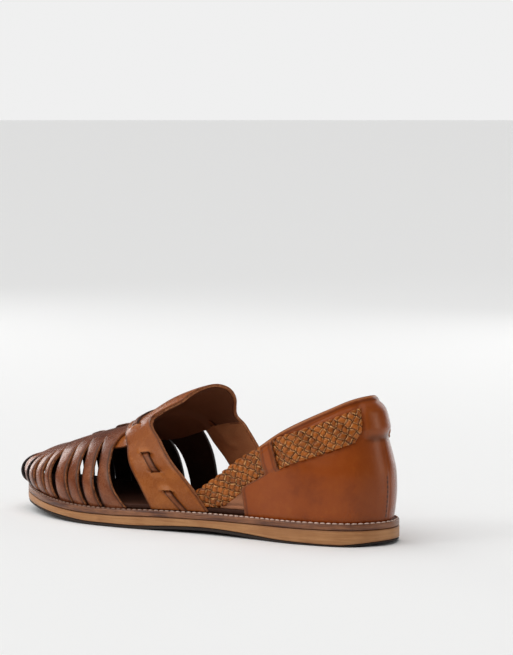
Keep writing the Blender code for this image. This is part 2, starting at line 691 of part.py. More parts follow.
def build_saddle(group, cutters):
    orange = material("orange_tan_leather", (0.45, 0.20, 0.07), 0.4)
    across = SADDLE_ROWS[:, None]
    front, rear = curve(SADDLE_FRONT, across), lines(SADDLE_REAR, across)
    x = rear + (front - rear) * np.linspace(0, 1, SADDLE_COLUMNS)[None, :]
    saddle = sheet("saddle", saddle_place(across + 0 * x, x), LEATHER, group, orange)
    for number, slit in enumerate(SADDLE_SLITS):
        face = on_saddle(*thong_block(slit, SADDLE_SLIT), 3.0)
        cut(saddle, slot_cutter(f"saddle_slit_{number}", face, 8.0, cutters))
    return saddle


# ---------------------------------------------------------------- the thong laced round the saddle

SADDLE_THONG = np.array([
    # across, x
    (-1, 128), (-0.8, 137), (-0.58, 149), (-0.3, 170), (0, 188), (0.33, 184), (0.58, 167.5),
    (0.74, 155.8), (0.87, 146.2), (1, 133.5)], float)
SADDLE_SLITS = (-0.87, -0.74, -0.60, -0.33, 0.33, 0.60, 0.74, 0.87)      # places across
SADDLE_RIB = 92.0               # length of a rib under the saddle
SADDLE_SLIT = SLIT_LENGTH / SADDLE_RIB


def on_saddle(across, d, extra):
    """A place beside the thong's middle line, d towards the toe, at extra height above the saddle."""
    return saddle_place(across, curve(SADDLE_THONG, across) + d, extra)


def build_saddle_thong(group):
    dark = bpy.data.materials["dark_thong_leather"]
    across = thong_stations(SADDLE_ROWS, SADDLE_SLITS, SADDLE_SLIT)
    over, under = GAP + THONG_WALL, -LEATHER - GAP
    lift = under + (over - under) * laced(across, SADDLE_SLITS, SADDLE_SLIT, starts_over=True)
    d = np.linspace(-0.5, 0.5, 3)[None, :] * THONG_WIDTH
    across, lift = across[:, None], lift[:, None]
    points = on_saddle(across + 0 * d, d + 0 * across, lift + 0 * d)
    return sheet("saddle_thong", points, THONG_WALL, group, dark)


# ---------------------------------------------------------------- the shoe

clear_scene()
shoe = collection("fisherman_sandal")
cutters = collection("cutters")
cutters.hide_render = True
build_sole(shoe)
build_quarter(shoe, cutters)
build_strap("braided_strap_outer", 1, shoe)
build_strap("braided_strap_inner", -1, shoe)
build_vamp(shoe, cutters)
build_vamp_thong(shoe)
build_saddle(shoe, cutters)
build_saddle_thong(shoe)
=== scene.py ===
# %% [markdown]
# # A fisherman sandal
#
# A fisherman sandal is a shoe made of gaps. Its upper is a handful of leather pieces, cut flat, pulled
# over a wooden foot called the last, and fixed to a stitched sole: a closed heel, two woven straps, a
# band over the instep and a front slit into strips. This lesson dresses the plain solids of one left shoe
# with that leather. Every piece of the real upper was stretched over one last, so every piece here is
# worked out from one too.

# %% Load the frame
import math

import bpy
import mathutils
import numpy as np
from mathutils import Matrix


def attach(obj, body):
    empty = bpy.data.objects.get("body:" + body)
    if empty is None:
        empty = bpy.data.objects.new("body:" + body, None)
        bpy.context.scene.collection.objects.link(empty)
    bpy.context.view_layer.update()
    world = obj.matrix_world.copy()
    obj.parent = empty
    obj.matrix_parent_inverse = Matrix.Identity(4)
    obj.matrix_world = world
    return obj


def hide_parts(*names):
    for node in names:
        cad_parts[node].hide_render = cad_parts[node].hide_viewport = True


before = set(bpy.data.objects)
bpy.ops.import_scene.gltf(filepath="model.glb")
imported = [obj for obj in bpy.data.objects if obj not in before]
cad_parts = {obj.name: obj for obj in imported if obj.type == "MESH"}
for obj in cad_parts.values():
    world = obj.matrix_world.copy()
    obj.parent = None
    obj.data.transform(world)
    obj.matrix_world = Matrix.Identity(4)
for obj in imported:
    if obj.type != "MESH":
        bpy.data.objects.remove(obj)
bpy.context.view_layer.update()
print("frame:", ", ".join(sorted(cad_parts)))

# %% [markdown]
# ## The last
#
# Shoemakers measure a last along its feather line, the edge where upper and sole meet, and over its ribs,
# from the feather line up to the ridge of the foot. A place on the upper is two numbers here as well: the
# arc, in millimetres along the feather line from the centre of the heel, and the rise, in millimetres up
# the rib. The tables are the shoe's few sections. Lengths are millimetres from the back of the heel, X to
# the toe, Y to the outer side, Z up from the floor; `to_world` makes them metres about the middle of the
# shoe.

# %% Tables of the last
MM = 0.001
LENGTH = 298.0
TOE_REACH = 1.6                 # how far the toe strips stand out past the sole
MIDDLE_Y = 1.75
GAP = 0.3                       # air between pieces that touch
LEATHER = 1.8
TREAD, MIDSOLE, INSOLE = 2.0, 3.8, 3.0

SOLE_OUTLINE = np.array([
    # x, y
    (0, 0), (9, 23), (42, 36), (80, 37.5), (115, 39.5), (150, 45), (185, 50.5), (205, 51.5),
    (226, 49.2), (246, 43.5), (265, 34.5), (281, 23.5), (292, 11), (298, -4), (291, -22),
    (276, -35), (258, -42.5), (236, -46.8), (213, -48), (188, -46), (160, -40.5), (128, -34),
    (95, -31.5), (60, -32.5), (32, -31.5), (9, -20)], float)
SOLE_TOP = np.array([
    # x, height
    (0, 14.2), (60, 13.6), (110, 13.2), (150, 12.6), (190, 11.4), (215, 11.4),
    (240, 12.6), (265, 14.8), (291, 17.5), (299, 18.2)], float)
LEDGE = np.array([
    # x, how far the upper's foot stands in from the sole's edge
    (0, 3.6), (60, 4.0), (200, 4.0), (245, 3.2), (275, 2.0), (299, 1.6)], float)
SECTIONS = np.array([
    # station, spine height, spine y, squareness, side bulge
    (38, 116, 0, 2.65, 3.6),
    (80, 112, 0, 2.70, 2.5),
    (115, 97.2, -1, 2.40, 2.0),
    (143, 88.4, -2, 2.10, 1.5),
    (170, 79.2, -3, 2.00, 1.5),
    (200, 63.4, -4, 1.97, 2.0),
    (225, 56.7, -4, 2.15, 2.0),
    (245, 50.5, -4, 2.15, 3.0),
    (262, 44.5, -3, 1.85, 6.5)], float)
# The heel cup curves in above its fullest place; the curve fades out along the sides.
HEEL_CURVE = np.array([
    # height, how far it lies inside the plain section
    (0, 0), (36, 0), (46, 1.0), (54, 2.7), (65, 4.9), (74, 5.2), (80.5, 5.8), (85, 6.9), (91, 8.8),
    (120, 9)], float)
HEEL_CURVE_FADES = 25.0, 75.0
FAN = np.array([
    # x of a rib's foot, station it rises to
    (0, 38), (20, 40), (45, 48), (80, 80), (225, 225), (255, 246), (280, 259), (298, 262)], float)


# %% Curves through tables
def curve(table, at, column=1):
    """Cubic pieces between a table's rows; the slope at a row is that between its neighbours."""
    x, y = table[:, 0], table[:, column]
    slope = np.gradient(y, x)
    row = np.clip(np.searchsorted(x, at, side="right") - 1, 0, len(x) - 2)
    step = x[row + 1] - x[row]
    u = np.clip((at - x[row]) / step, 0, 1)
    rising = u * u * (3 - 2 * u)
    return (y[row] * (1 - rising) + y[row + 1] * rising
            + u * (1 - u) * step * ((1 - u) * slope[row] - u * slope[row + 1]))


def lines(table, at):
    """Straight runs between a table's rows."""
    return np.interp(at, table[:, 0], table[:, 1])


def soft(x, start, end):
    """0 before start, 1 after end, and between them 3u^2 - 2u^3 of the share u travelled."""
    u = np.clip((x - start) / (end - start), 0, 1)
    return u * u * (3 - 2 * u)


def hump(x, middle, reach):
    """A bell: e to the power of minus the square of the distance over its reach."""
    return np.exp(-((x - middle) / reach) ** 2)


def closed_curve(rows, steps):
    """Points at equal distances along the closed cubic through rows."""
    ring = np.vstack([rows[-3:], rows, rows[:4]])
    along = np.r_[0, np.cumsum(np.linalg.norm(np.diff(ring, axis=0), axis=1))]
    at = np.linspace(along[3], along[3 + len(rows)], 4 * steps)
    fine = np.stack([curve(np.c_[along, ring], at, 1), curve(np.c_[along, ring], at, 2)], axis=1)
    length = np.r_[0, np.cumsum(np.linalg.norm(np.diff(fine, axis=0), axis=1))]
    even = np.linspace(0, length[-1], steps + 1)[:-1]
    return np.stack([np.interp(even, length, fine[:, 0]), np.interp(even, length, fine[:, 1])], axis=1)


# %% The feather line
sole_edge = closed_curve(SOLE_OUTLINE, 1440)
edge_along = np.roll(sole_edge, -1, axis=0) - np.roll(sole_edge, 1, axis=0)
edge_along /= np.linalg.norm(edge_along, axis=1)[:, None]
edge_out = np.stack([-edge_along[:, 1], edge_along[:, 0]], axis=1)
feather = sole_edge - edge_out * curve(LEDGE, sole_edge[:, 0])[:, None]
feather_ring = np.vstack([feather, feather[:1]])
feather_arc = np.r_[0, np.cumsum(np.linalg.norm(np.diff(feather_ring, axis=0), axis=1))]
ROUND = feather_arc[-1]
outer_turn = int(np.argmax(feather[:, 0]))
print(f"feather line: {ROUND:.0f} mm round, toe at {feather_arc[outer_turn]:.0f} mm")


def feather_point(arc):
    """The point of the feather line at this arc."""
    arc = np.mod(arc, ROUND)
    return np.stack([np.interp(arc, feather_arc, feather_ring[:, 0]),
                     np.interp(arc, feather_arc, feather_ring[:, 1])], axis=-1)


def side_arc(x, side):
    """The arc whose feather point has this x, on the outer (1) or inner (-1) side."""
    if side > 0:
        return np.interp(x, feather[:outer_turn, 0], feather_arc[:outer_turn])
    return np.interp(x, feather[outer_turn:, 0][::-1], feather_arc[outer_turn:-1][::-1] - ROUND)


def station_arc(station, side):
    """The arc of the rib that rises to this station of the spine."""
    x = np.linspace(0, LENGTH, 600)
    return side_arc(np.interp(station, curve(FAN, x), x), side)


# %% [markdown]
# The ribs are quarter superellipses: cosine and sine of an angle, raised to 2 / squareness, stretched
# from the spine out to the feather line. Working one out for every vertex would be slow, so the whole
# last is worked out once as a lattice, about every half millimetre of arc and rise, with its normals.
# Pieces read it through Catmull-Rom weights, which keep highlights on glossy leather free of facets.

# %% The lattice
ARCS, SHARES = 1310, 240


def build_lattice():
    """Ribs at even arcs, each cut into even shares of its own length: points, unit normals and lengths."""
    arc = np.arange(ARCS) * ROUND / ARCS
    foot = feather_point(arc)
    station = curve(FAN, foot[:, 0])
    height, spine_y, square, bulge = (curve(SECTIONS, station, c)[:, None] for c in (1, 2, 3, 4))
    low = curve(SOLE_TOP, foot[:, 0])[:, None]
    angle = np.linspace(0, np.pi / 2, 900)[None, :]
    out = np.clip(np.cos(angle), 0, 1) ** (2 / square)
    up = np.sin(angle) ** (2 / square)
    spine = np.stack([station, spine_y[:, 0]], axis=1)
    reach = np.linalg.norm(foot - spine, axis=1)[:, None]
    away = (foot - spine) / reach
    level = low + (height - low) * up
    near_heel = 1 - soft(foot[:, :1], *HEEL_CURVE_FADES)
    side = (reach + 4 * bulge * up * (1 - up) - curve(HEEL_CURVE, level) * near_heel) * out
    rib = np.stack([spine[:, :1] + away[:, :1] * side, spine[:, 1:] + away[:, 1:] * side, level], axis=2)
    travel = np.linalg.norm(np.diff(rib, axis=1), axis=2)
    along = np.concatenate([np.zeros((ARCS, 1)), np.cumsum(travel, axis=1)], axis=1)
    even = np.linspace(0, 1, SHARES + 1)
    points = np.array([[np.interp(even * s[-1], s, p[:, k]) for k in range(3)] for s, p in zip(along, rib)])
    points = points.transpose(0, 2, 1)
    forward = np.roll(points, -1, axis=0) - np.roll(points, 1, axis=0)
    normals = np.cross(np.gradient(points, axis=1), forward)
    normals /= np.linalg.norm(normals, axis=2)[:, :, None]
    return points, normals, along[:, -1]


last_points, last_normals, last_girths = build_lattice()
print(f"last: {ARCS} ribs, {last_girths.min():.0f} to {last_girths.max():.0f} mm long")


# %% Reading the lattice
def weights(t):
    """Catmull-Rom weights of the four neighbours of a place that is t of the way past the second."""
    square, cube = t**2, t**3
    return np.stack([-t + 2 * square - cube, 2 - 5 * square + 3 * cube, t + 4 * square - 3 * cube,
                     -square + cube]) / 2


def girth(arc):
    """The rib's length at arc."""
    place = np.mod(arc, ROUND) / ROUND * ARCS
    index = np.floor(place).astype(int)
    w = weights(place - index)
    return sum(w[k] * last_girths[(index + k - 1) % ARCS] for k in range(4))


def read_lattice(values, arc, rise):
    """Catmull-Rom in both directions over the lattice."""
    column = np.mod(arc, ROUND) / ROUND * ARCS
    row = np.clip(rise / girth(arc), 0, 1) * SHARES
    i, j = np.floor(column).astype(int), np.minimum(np.floor(row).astype(int), SHARES - 1)
    wi, wj = weights(column - i), weights(row - j)
    columns = [(i + k - 1) % ARCS for k in range(4)]
    rows = [np.clip(j + k - 1, 0, SHARES) for k in range(4)]
    return sum(wi[a, ..., None] * wj[b, ..., None] * values[columns[a], rows[b]]
               for a in range(4) for b in range(4))


def on_last(arc, rise):
    """A point of the last."""
    return read_lattice(last_points, *np.broadcast_arrays(arc, rise))


def outward(arc, rise):
    """The last's unit normal."""
    normal = read_lattice(last_normals, *np.broadcast_arrays(arc, rise))
    return normal / np.linalg.norm(normal, axis=-1)[..., None]


def to_world(points):
    """Millimetres from the heel to metres about the middle of the shoe."""
    return (np.asarray(points) - [(LENGTH + TOE_REACH) / 2, MIDDLE_Y, 0]) * MM


# %% [markdown]
# ## Leather as cut pieces
#
# A piece of leather has three surfaces that look different: the polished grain side, the matt flesh side
# and the raw cut edge. One function makes them all. It takes the grain side as a grid of points with
# normals, drops a flesh side behind it at the wall's thickness, and finds every edge that only one face
# uses. Along those it rolls a rounded rim from front to back. A slit or a gap is simply a row of faces
# left out of the grid, and its rims come by themselves.

# %% A mesh from arrays
def new_mesh(name, points, faces, looks, look_of_face=None, marks=None, world=True):
    """A mesh object from arrays: points in mm, faces as rows of vertex numbers, marks as named floats."""
    mesh = bpy.data.meshes.new(name)
    mesh.from_pydata((to_world(points) if world else points).tolist(), [],
                     [tuple(dict.fromkeys(face)) for face in faces.tolist()])
    for look in looks:
        mesh.materials.append(look)
    if look_of_face is not None:
        mesh.polygons.foreach_set("material_index", np.asarray(look_of_face, np.int32))
    for mark, values in (marks or {}).items():
        mesh.attributes.new(mark, "FLOAT", "POINT").data.foreach_set("value", np.asarray(values, np.float32))
    mesh.shade_smooth()
    mesh.update()
    piece = bpy.data.objects.new(name, mesh)
    bpy.context.scene.collection.objects.link(piece)
    return piece


def merge_points(points, close=0.02):
    """Points in one cell of a fine lattice count as one: each cell's first point, and each point's cell."""
    keys = np.round(points / close).astype(np.int64)
    _, first, inverse = np.unique(keys, axis=0, return_index=True, return_inverse=True)
    return first, inverse.ravel()


# %% From a grid to a piece of leather
RIM = np.array([
    # share of the wall's depth, share of the rim's bulge
    (0.0, 0.0), (0.10, 0.62), (0.32, 0.97), (0.5, 1.0), (0.68, 0.97), (0.90, 0.62), (1.0, 0.0)])


def hide(name, front, normal, wall, looks, keep=None, marks=None, bulge=0.3):
    """A closed piece: front faces, back faces a wall behind them, and a rounded rim along each open edge.

    A rim point is front - depth * wall * normal + bulge * outwards, with depth and bulge from RIM; outwards
    lies in the leather, square to its edge.
    """
    shape = front.shape[:2]
    points, normals = front.reshape(-1, 3), normal.reshape(-1, 3)
    first, number = merge_points(points)
    ids = number.reshape(shape)
    quads = np.stack([ids[:-1, :-1], ids[:-1, 1:], ids[1:, 1:], ids[1:, :-1]], axis=-1)
    quads = quads[keep] if keep is not None else quads.reshape(-1, 4)
    quads = quads[[len(set(q)) > 2 for q in quads.tolist()]]
    points = points[first]
    summed = np.zeros_like(points)
    np.add.at(summed, number, normals)
    normals = summed / np.linalg.norm(summed, axis=1)[:, None]
    start, end = quads.reshape(-1), np.roll(quads, -1, axis=1).reshape(-1)
    real = start != end
    start, end = start[real], end[real]
    total = len(points)
    alone = ~np.isin(start * total + end, end * total + start)
    start, end = start[alone], end[alone]
    along = points[end] - points[start]
    aside = np.cross(along / np.linalg.norm(along, axis=1)[:, None], normals[start])
    outwards = np.zeros_like(points)
    np.add.at(outwards, start, aside)
    np.add.at(outwards, end, aside)
    rim = np.unique(np.r_[start, end])
    outwards = outwards[rim] / np.maximum(np.linalg.norm(outwards[rim], axis=1), 0.3)[:, None]
    layers = [points, points - normals * wall]
    rows = [np.arange(total)]
    for step, (depth, swell) in enumerate(RIM[1:-1]):
        ring = np.zeros(total, int)
        ring[rim] = 2 * total + step * len(rim) + np.arange(len(rim))
        rows.append(ring)
        layers.append(points[rim] - normals[rim] * (wall * depth) + outwards * bulge * swell)
    rows.append(total + np.arange(total))
    rim_quads = [np.stack([a[start], b[start], b[end], a[end]], axis=1) for a, b in zip(rows, rows[1:])]
    back = quads[:, ::-1] + total
    faces = np.vstack([quads, back, *rim_quads])
    look_of_face = np.r_[np.zeros(len(quads)), np.ones(len(back)), np.full(sum(map(len, rim_quads)), 2)]
    all_marks = {}
    for mark, values in (marks or {}).items():
        flat = np.broadcast_to(values, shape).reshape(-1)[first]
        all_marks[mark] = np.concatenate([flat, flat] + [flat[rim]] * (len(RIM) - 2))
    used, number = np.unique(faces, return_inverse=True)
    piece = new_mesh(name, np.vstack(layers)[used], number.reshape(faces.shape), looks, look_of_face,
                     {mark: values[used] for mark, values in all_marks.items()})
    print(f"{name}: {len(faces)} faces, {len(rim)} points of cut edge")
    return piece


def edged(count, fine):
    """Shares from 0 to 1 with two extra close ones at each end, so that a rim's shading stays near it."""
    return np.r_[0, fine / 2, np.linspace(fine, 1 - fine, count), 1 - fine / 2, 1]


# %% [markdown]
# ## Finishes
#
# Polished leather is never one colour. Dye sinks deeper in some places and polish darkens the edges; what
# stands proud is painted lighter, as a painted highlight. The shader sums these as plain arithmetic, so one
# small class lets a socket take part in a Python expression, and one method makes every other node.

# %% Shader expressions
class Wire:
    """A shader value that can be added, multiplied and so on; each operation adds a Math node."""

    def __init__(self, finish, socket):
        self.finish, self.socket = finish, socket

    def maths(self, operation, *terms, clamp=False):
        return self.finish.node("ShaderNodeMath", {"operation": operation, "use_clamp": clamp},
                                dict(enumerate(terms)))

    def __add__(self, other):
        return self.maths("ADD", self, other)

    def __sub__(self, other):
        return self.maths("SUBTRACT", self, other)

    def __rsub__(self, other):
        return self.maths("SUBTRACT", other, self)

    def __mul__(self, other):
        return self.maths("MULTIPLY", self, other)

    def __abs__(self):
        return self.maths("ABSOLUTE", self)

    def sine(self):
        return self.maths("SINE", self)

    def clamp(self):
        return self.maths("ADD", self, 0.0, clamp=True)

    __radd__ = __add__


# %% A material under construction
class Finish:
    """A material under construction; its shader's unvarying values are set by name."""

    def __init__(self, name, **values):
        self.material = bpy.data.materials.new(name)
        self.material.use_nodes = True
        self.tree = self.material.node_tree
        self.shader = self.tree.nodes["Principled BSDF"]
        for socket, value in values.items():
            self.shader.inputs[socket.replace("_", " ")].default_value = value

    def node(self, kind, settings=None, sockets=None, out=0):
        made = self.tree.nodes.new(kind)
        for setting, value in (settings or {}).items():
            setattr(made, setting, value)
        for socket, value in (sockets or {}).items():
            if isinstance(value, Wire):
                self.tree.links.new(value.socket, made.inputs[socket])
            else:
                made.inputs[socket].default_value = value
        return Wire(self, made.outputs[out])

    def place(self):
        return self.node("ShaderNodeTexCoord", out="Object")

    def mark(self, name):
        return self.node("ShaderNodeAttribute", {"attribute_name": name}, out="Fac")

    def noise(self, scale, detail=3.0, vector=None, roughness=0.55):
        return self.node("ShaderNodeTexNoise", {}, {
            "Vector": vector or self.place(), "Scale": scale, "Detail": detail, "Roughness": roughness})

    def cells(self, scale):
        """How far a place is from the border of its cell, in a pattern like the pores of leather."""
        return self.node("ShaderNodeTexVoronoi", {"feature": "DISTANCE_TO_EDGE"}, {
            "Vector": self.place(), "Scale": scale})

    def mix(self, share, first, second):
        first, second = (c if isinstance(c, Wire) else (*c, 1) for c in (first, second))
        return self.node("ShaderNodeMix", {"data_type": "RGBA"}, {0: share, 6: first, 7: second}, out=2)

    def smooth(self, value, low, high):
        """0 below low, 1 above high, smoothed between."""
        return self.node("ShaderNodeMapRange", {"interpolation_type": "SMOOTHSTEP"},
                         {"Value": value, "From Min": low, "From Max": high})

    def bump(self, height, distance):
        return self.node("ShaderNodeBump", {}, {"Height": height, "Distance": distance, "Strength": 1.0})

    def finish(self, colour=None, roughness=None, normal=None):
        for socket, wire in (("Base Color", colour), ("Roughness", roughness), ("Normal", normal)):
            if wire:
                self.tree.links.new(wire.socket, self.shader.inputs[socket])
        return self.material


# %% [markdown]
# Grain leather gets clouds of dye a few centimetres wide, streaks a few millimetres long, a darker
# burnish along cut edges, and a fine pebble of pores as bump. Where a piece carries a mark called edge,
# it holds the distance to the nearest cut in millimetres. Another mark, 1 on what stands proud, paints
# raised leather lighter and pressed-in leather darker: painted highlight and painted shade.

# %% Grain leather, flesh side and cut edge
def grain_leather(name, deep, middle, light, burnish, gloss, ior=1.42, detail=None):
    """Colour = mix of deep, middle and light by clouds and streaks, then towards burnish near an edge.

    A detail is a function of the finish and its colour that adds something of the piece's own.
    """
    f = Finish(name, IOR=ior, Specular_Tint=(1.0, 0.78, 0.62, 1))
    clouds = f.noise(38.0, 4.0)
    streaks = f.noise(210.0, 4.0, roughness=0.62)
    fine = f.noise(900.0, 2.0)
    # The mark of what stands proud adds painted highlight where it is high and painted shade where it is
    # low.
    tone = clouds * 0.66 + streaks * 0.22 + fine * 0.12 + f.mark("painted_relief_light") * 0.16 - 0.04
    colour = f.mix(f.smooth(tone, 0.36, 0.52), deep, middle)
    colour = f.mix(f.smooth(tone, 0.5, 0.72), colour, light)
    worn = 1 - f.smooth(f.mark("edge") + (streaks - 0.5) * 1.6, 0.1, 2.0)
    colour = f.mix(worn * 0.85, colour, burnish)
    if detail:
        colour = detail(f, colour)
    roughness = gloss + (streaks - 0.5) * 0.14 + (fine - 0.5) * 0.06 + worn * 0.08
    pebble = f.smooth(f.cells(1400.0), 0.0, 0.35) * 0.4 + fine * 0.3 + streaks * 0.5
    return f.finish(colour, roughness.clamp(), f.bump(pebble, 0.00006))


def flesh_leather(name, dark, pale, roughness=0.85):
    """The matt inner side: fibres as two noises, with no gloss."""
    f = Finish(name, IOR=1.25)
    nap = f.noise(1600.0, 3.0)
    patches = f.noise(70.0, 3.0)
    colour = f.mix((nap * 0.4 + patches * 0.8 - 0.1).clamp(), dark, pale)
    return f.finish(colour, roughness + (nap - 0.5) * 0.1, f.bump(nap, 0.00025))


def cut_edge(name, dark, pale, ink_and_shade_colour=None):
    """A raw edge: fibre ends in two tones, lightly waxed; an optional dark colour of ink and painted shade
    where its mark is 1.
    """
    f = Finish(name, IOR=1.45)
    fibres = f.noise(700.0, 4.0, roughness=0.7)
    colour = f.mix(f.smooth(fibres, 0.35, 0.65), dark, pale)
    if ink_and_shade_colour:
        rubbed = f.noise(160.0, 3.0)
        colour = f.mix(f.smooth(f.mark("ink_and_shade") + (rubbed - 0.5) * 1.1, 0.35, 0.65), colour, ink_and_shade_colour)
    return f.finish(colour, 0.5 + fibres * 0.2, f.bump(fibres, 0.0002))


# %% Leathers of the front
strip_leather = grain_leather("red_brown_grain_leather", (0.085, 0.018, 0.006), (0.155, 0.038, 0.012),
                              (0.26, 0.08, 0.03), (0.035, 0.009, 0.004), gloss=0.27, ior=1.55)
saddle_leather = grain_leather("orange_tan_leather", (0.17, 0.039, 0.007), (0.265, 0.067, 0.011),
                               (0.36, 0.108, 0.022), (0.08, 0.018, 0.004), gloss=0.27)
# Near-black flesh side: a dark lining colour, darkened further as painted shade of the shoe's inside.
shaded_dark_flesh = flesh_leather("dark_flesh_side_painted_shade", (0.014, 0.006, 0.003), (0.045, 0.018, 0.01))
tan_edge = cut_edge("raw_tan_edge", (0.22, 0.062, 0.018), (0.5, 0.19, 0.07))
# Its near-black third colour is edge ink, with painted shade at the toe and on the inner side.
strip_edge = cut_edge("strip_edge", (0.16, 0.045, 0.014), (0.42, 0.15, 0.05), (0.012, 0.005, 0.004))
print("leathers:", strip_leather.name, saddle_leather.name)


# %% [markdown]
# ## The vamp
#
# The front of the shoe is one leather, slit from its edge towards the ridge so that it falls into strips.
# The uncut leather along the ridge is the plug. Each slit is a curve from the sole up to the plug, and
# between two neighbouring curves lies one strip. A strip is not flat: pulled over the last it takes a
# slight crown, its rear edge stands a little proud, and it tucks in where it goes under the welt.

# %% Slits of the vamp
SLITS = np.array([
    # arc at the sole, width, spine station it points to
    (208.5, 3.4, 219), (222, 3.6, 230), (235.5, 1.5, 241), (252.4, 6.0, 251), (265, 1.7, 258),
    (278.5, 1.6, 262), (291, 1.8, 262), (306.5, 7.4, 262), (321.5, 1.6, 262),
    (-322, 1.6, 262), (-308.5, 1.6, 262), (-296, 2.8, 262), (-286, 3.4, 262), (-272, 1.4, 258),
    (-259, 1.2, 251), (-243, 0.9, 241), (-227, 1.0, 230), (-209.5, 7.4, 219)], float)
REAR_OUTER, REAR_INNER, REAR_STATION = 193.0, -179.2, 193.0
REAR_BOW = np.array([
    # rise, how far the outer rear edge bows to the toe
    (0, -2), (3.4, -1), (7.4, 0), (12.5, 1.5), (17.4, 2.5), (22, 3.6), (27.3, 4.6), (35, 4.4),
    (43, 4.2), (52, 2.4), (60, 1)], float)
LEAN = np.array([
    # rise, how far a slit has moved to the toe
    (0, 0), (5, 3), (15, 7.5), (30, 11), (45, 16), (60, 21)], float)
LEAN_SHARE = np.array([
    # arc, share of the lean that a slit takes; the inner side leans the other way round
    (292, 1), (325, 0.2), (362, -0.1), (400, -0.35), (440, -0.4)], float)
PLUG_HALF_WIDTH = 27.0
SLIT_END_WIDTH = 0.5
POLE = SECTIONS[-1, 0]
PLUG_SPREAD = 1.5
FOOT = 0.3                      # the upper's foot above the welt
STRIP_STEPS, PLUG_STEPS, STRIP_ACROSS = 64, 26, 11


def lean(arc, rise):
    """How far a slit has moved to the toe at this rise; less on the inner side."""
    return curve(LEAN, np.clip(rise, 0, 60)) * lines(LEAN_SHARE, arc)


def slit_edge(foot, width, station, edge):
    """One edge of a slit from the sole to the spine: arcs, rises, and the rise at which the plug begins."""
    side = 1 if foot < feather_arc[outer_turn] else -1
    top = girth(foot) - PLUG_HALF_WIDTH
    top = girth(foot + lean(foot, top)) - PLUG_HALF_WIDTH
    share = np.linspace(0, 1, STRIP_STEPS + 1)
    low = FOOT * (1 + 2 * soft(feather_point(foot)[0], 245, 285))
    rise = low + share * (top - low)
    narrowing = soft(share, 0.58 - 0.38 * soft(foot, 290, 305), 1.0) if side > 0 else share ** 3
    half = edge * (SLIT_END_WIDTH + (width - SLIT_END_WIDTH) * (1 - narrowing)) / 2
    arc = foot + lean(foot, rise) + half
    if foot == REAR_OUTER:
        arc = arc + curve(REAR_BOW, rise)
    goal = arc[-1]
    if station < POLE:
        station = station + edge * side * PLUG_SPREAD
        goal = np.mod(station_arc(station, side), ROUND)
    inward = np.linspace(0, 1, PLUG_STEPS + 1)[1:]
    arcs = np.r_[arc, arc[-1] + (goal - arc[-1]) * inward]
    at_top = top / girth(arc[-1])
    rises = np.r_[rise, girth(arcs[len(arc):]) * (at_top + (1 - at_top) * inward)]
    return arcs, rises, np.full(len(arcs), top), np.full(len(arcs), station)


def vamp_grid():
    """Arcs, rises, plug rises and stations of every column, strip by strip from the outer side inwards."""
    edges = [slit_edge(REAR_OUTER, 0, REAR_STATION, 0)]
    for foot, width, station in SLITS:
        edges += [slit_edge(np.mod(foot, ROUND), width, station, edge) for edge in (-1, 1)]
    edges.append(slit_edge(REAR_INNER + ROUND, 0, REAR_STATION, 0))
    edges = np.array(edges)
    share = edged(STRIP_ACROSS, 0.05)[None, None, :, None]
    near, far = edges[0::2, :, None, :], edges[1::2, :, None, :]
    grid = near + (far - near) * share
    return grid.transpose(0, 2, 1, 3), share[0, 0, :, 0]


# %% Grid of the strips
grid, across = vamp_grid()
strips, columns = grid.shape[0], grid.shape[1]
print(f"vamp: {strips} strips of {columns} columns")

# %% Shape of the strips
STRIP_CROWN = 0.65
REAR_PROUD = 1.3
TOE_PROUD, TOE_MIDDLE, TOE_HALF = 1.2, 327.0, 24.0
TOE_FLARE, FLARE_ARCS = 2.6, (303.0, 310.0, 330.0)
INK, TOE_INNER_SHADE, TOE_INNER_SHADE_ARCS = 0.3, 0.5, (286.0, 298.0)       # ink on the cut edges, and painted shade darkening them further at the toe and on the inner side


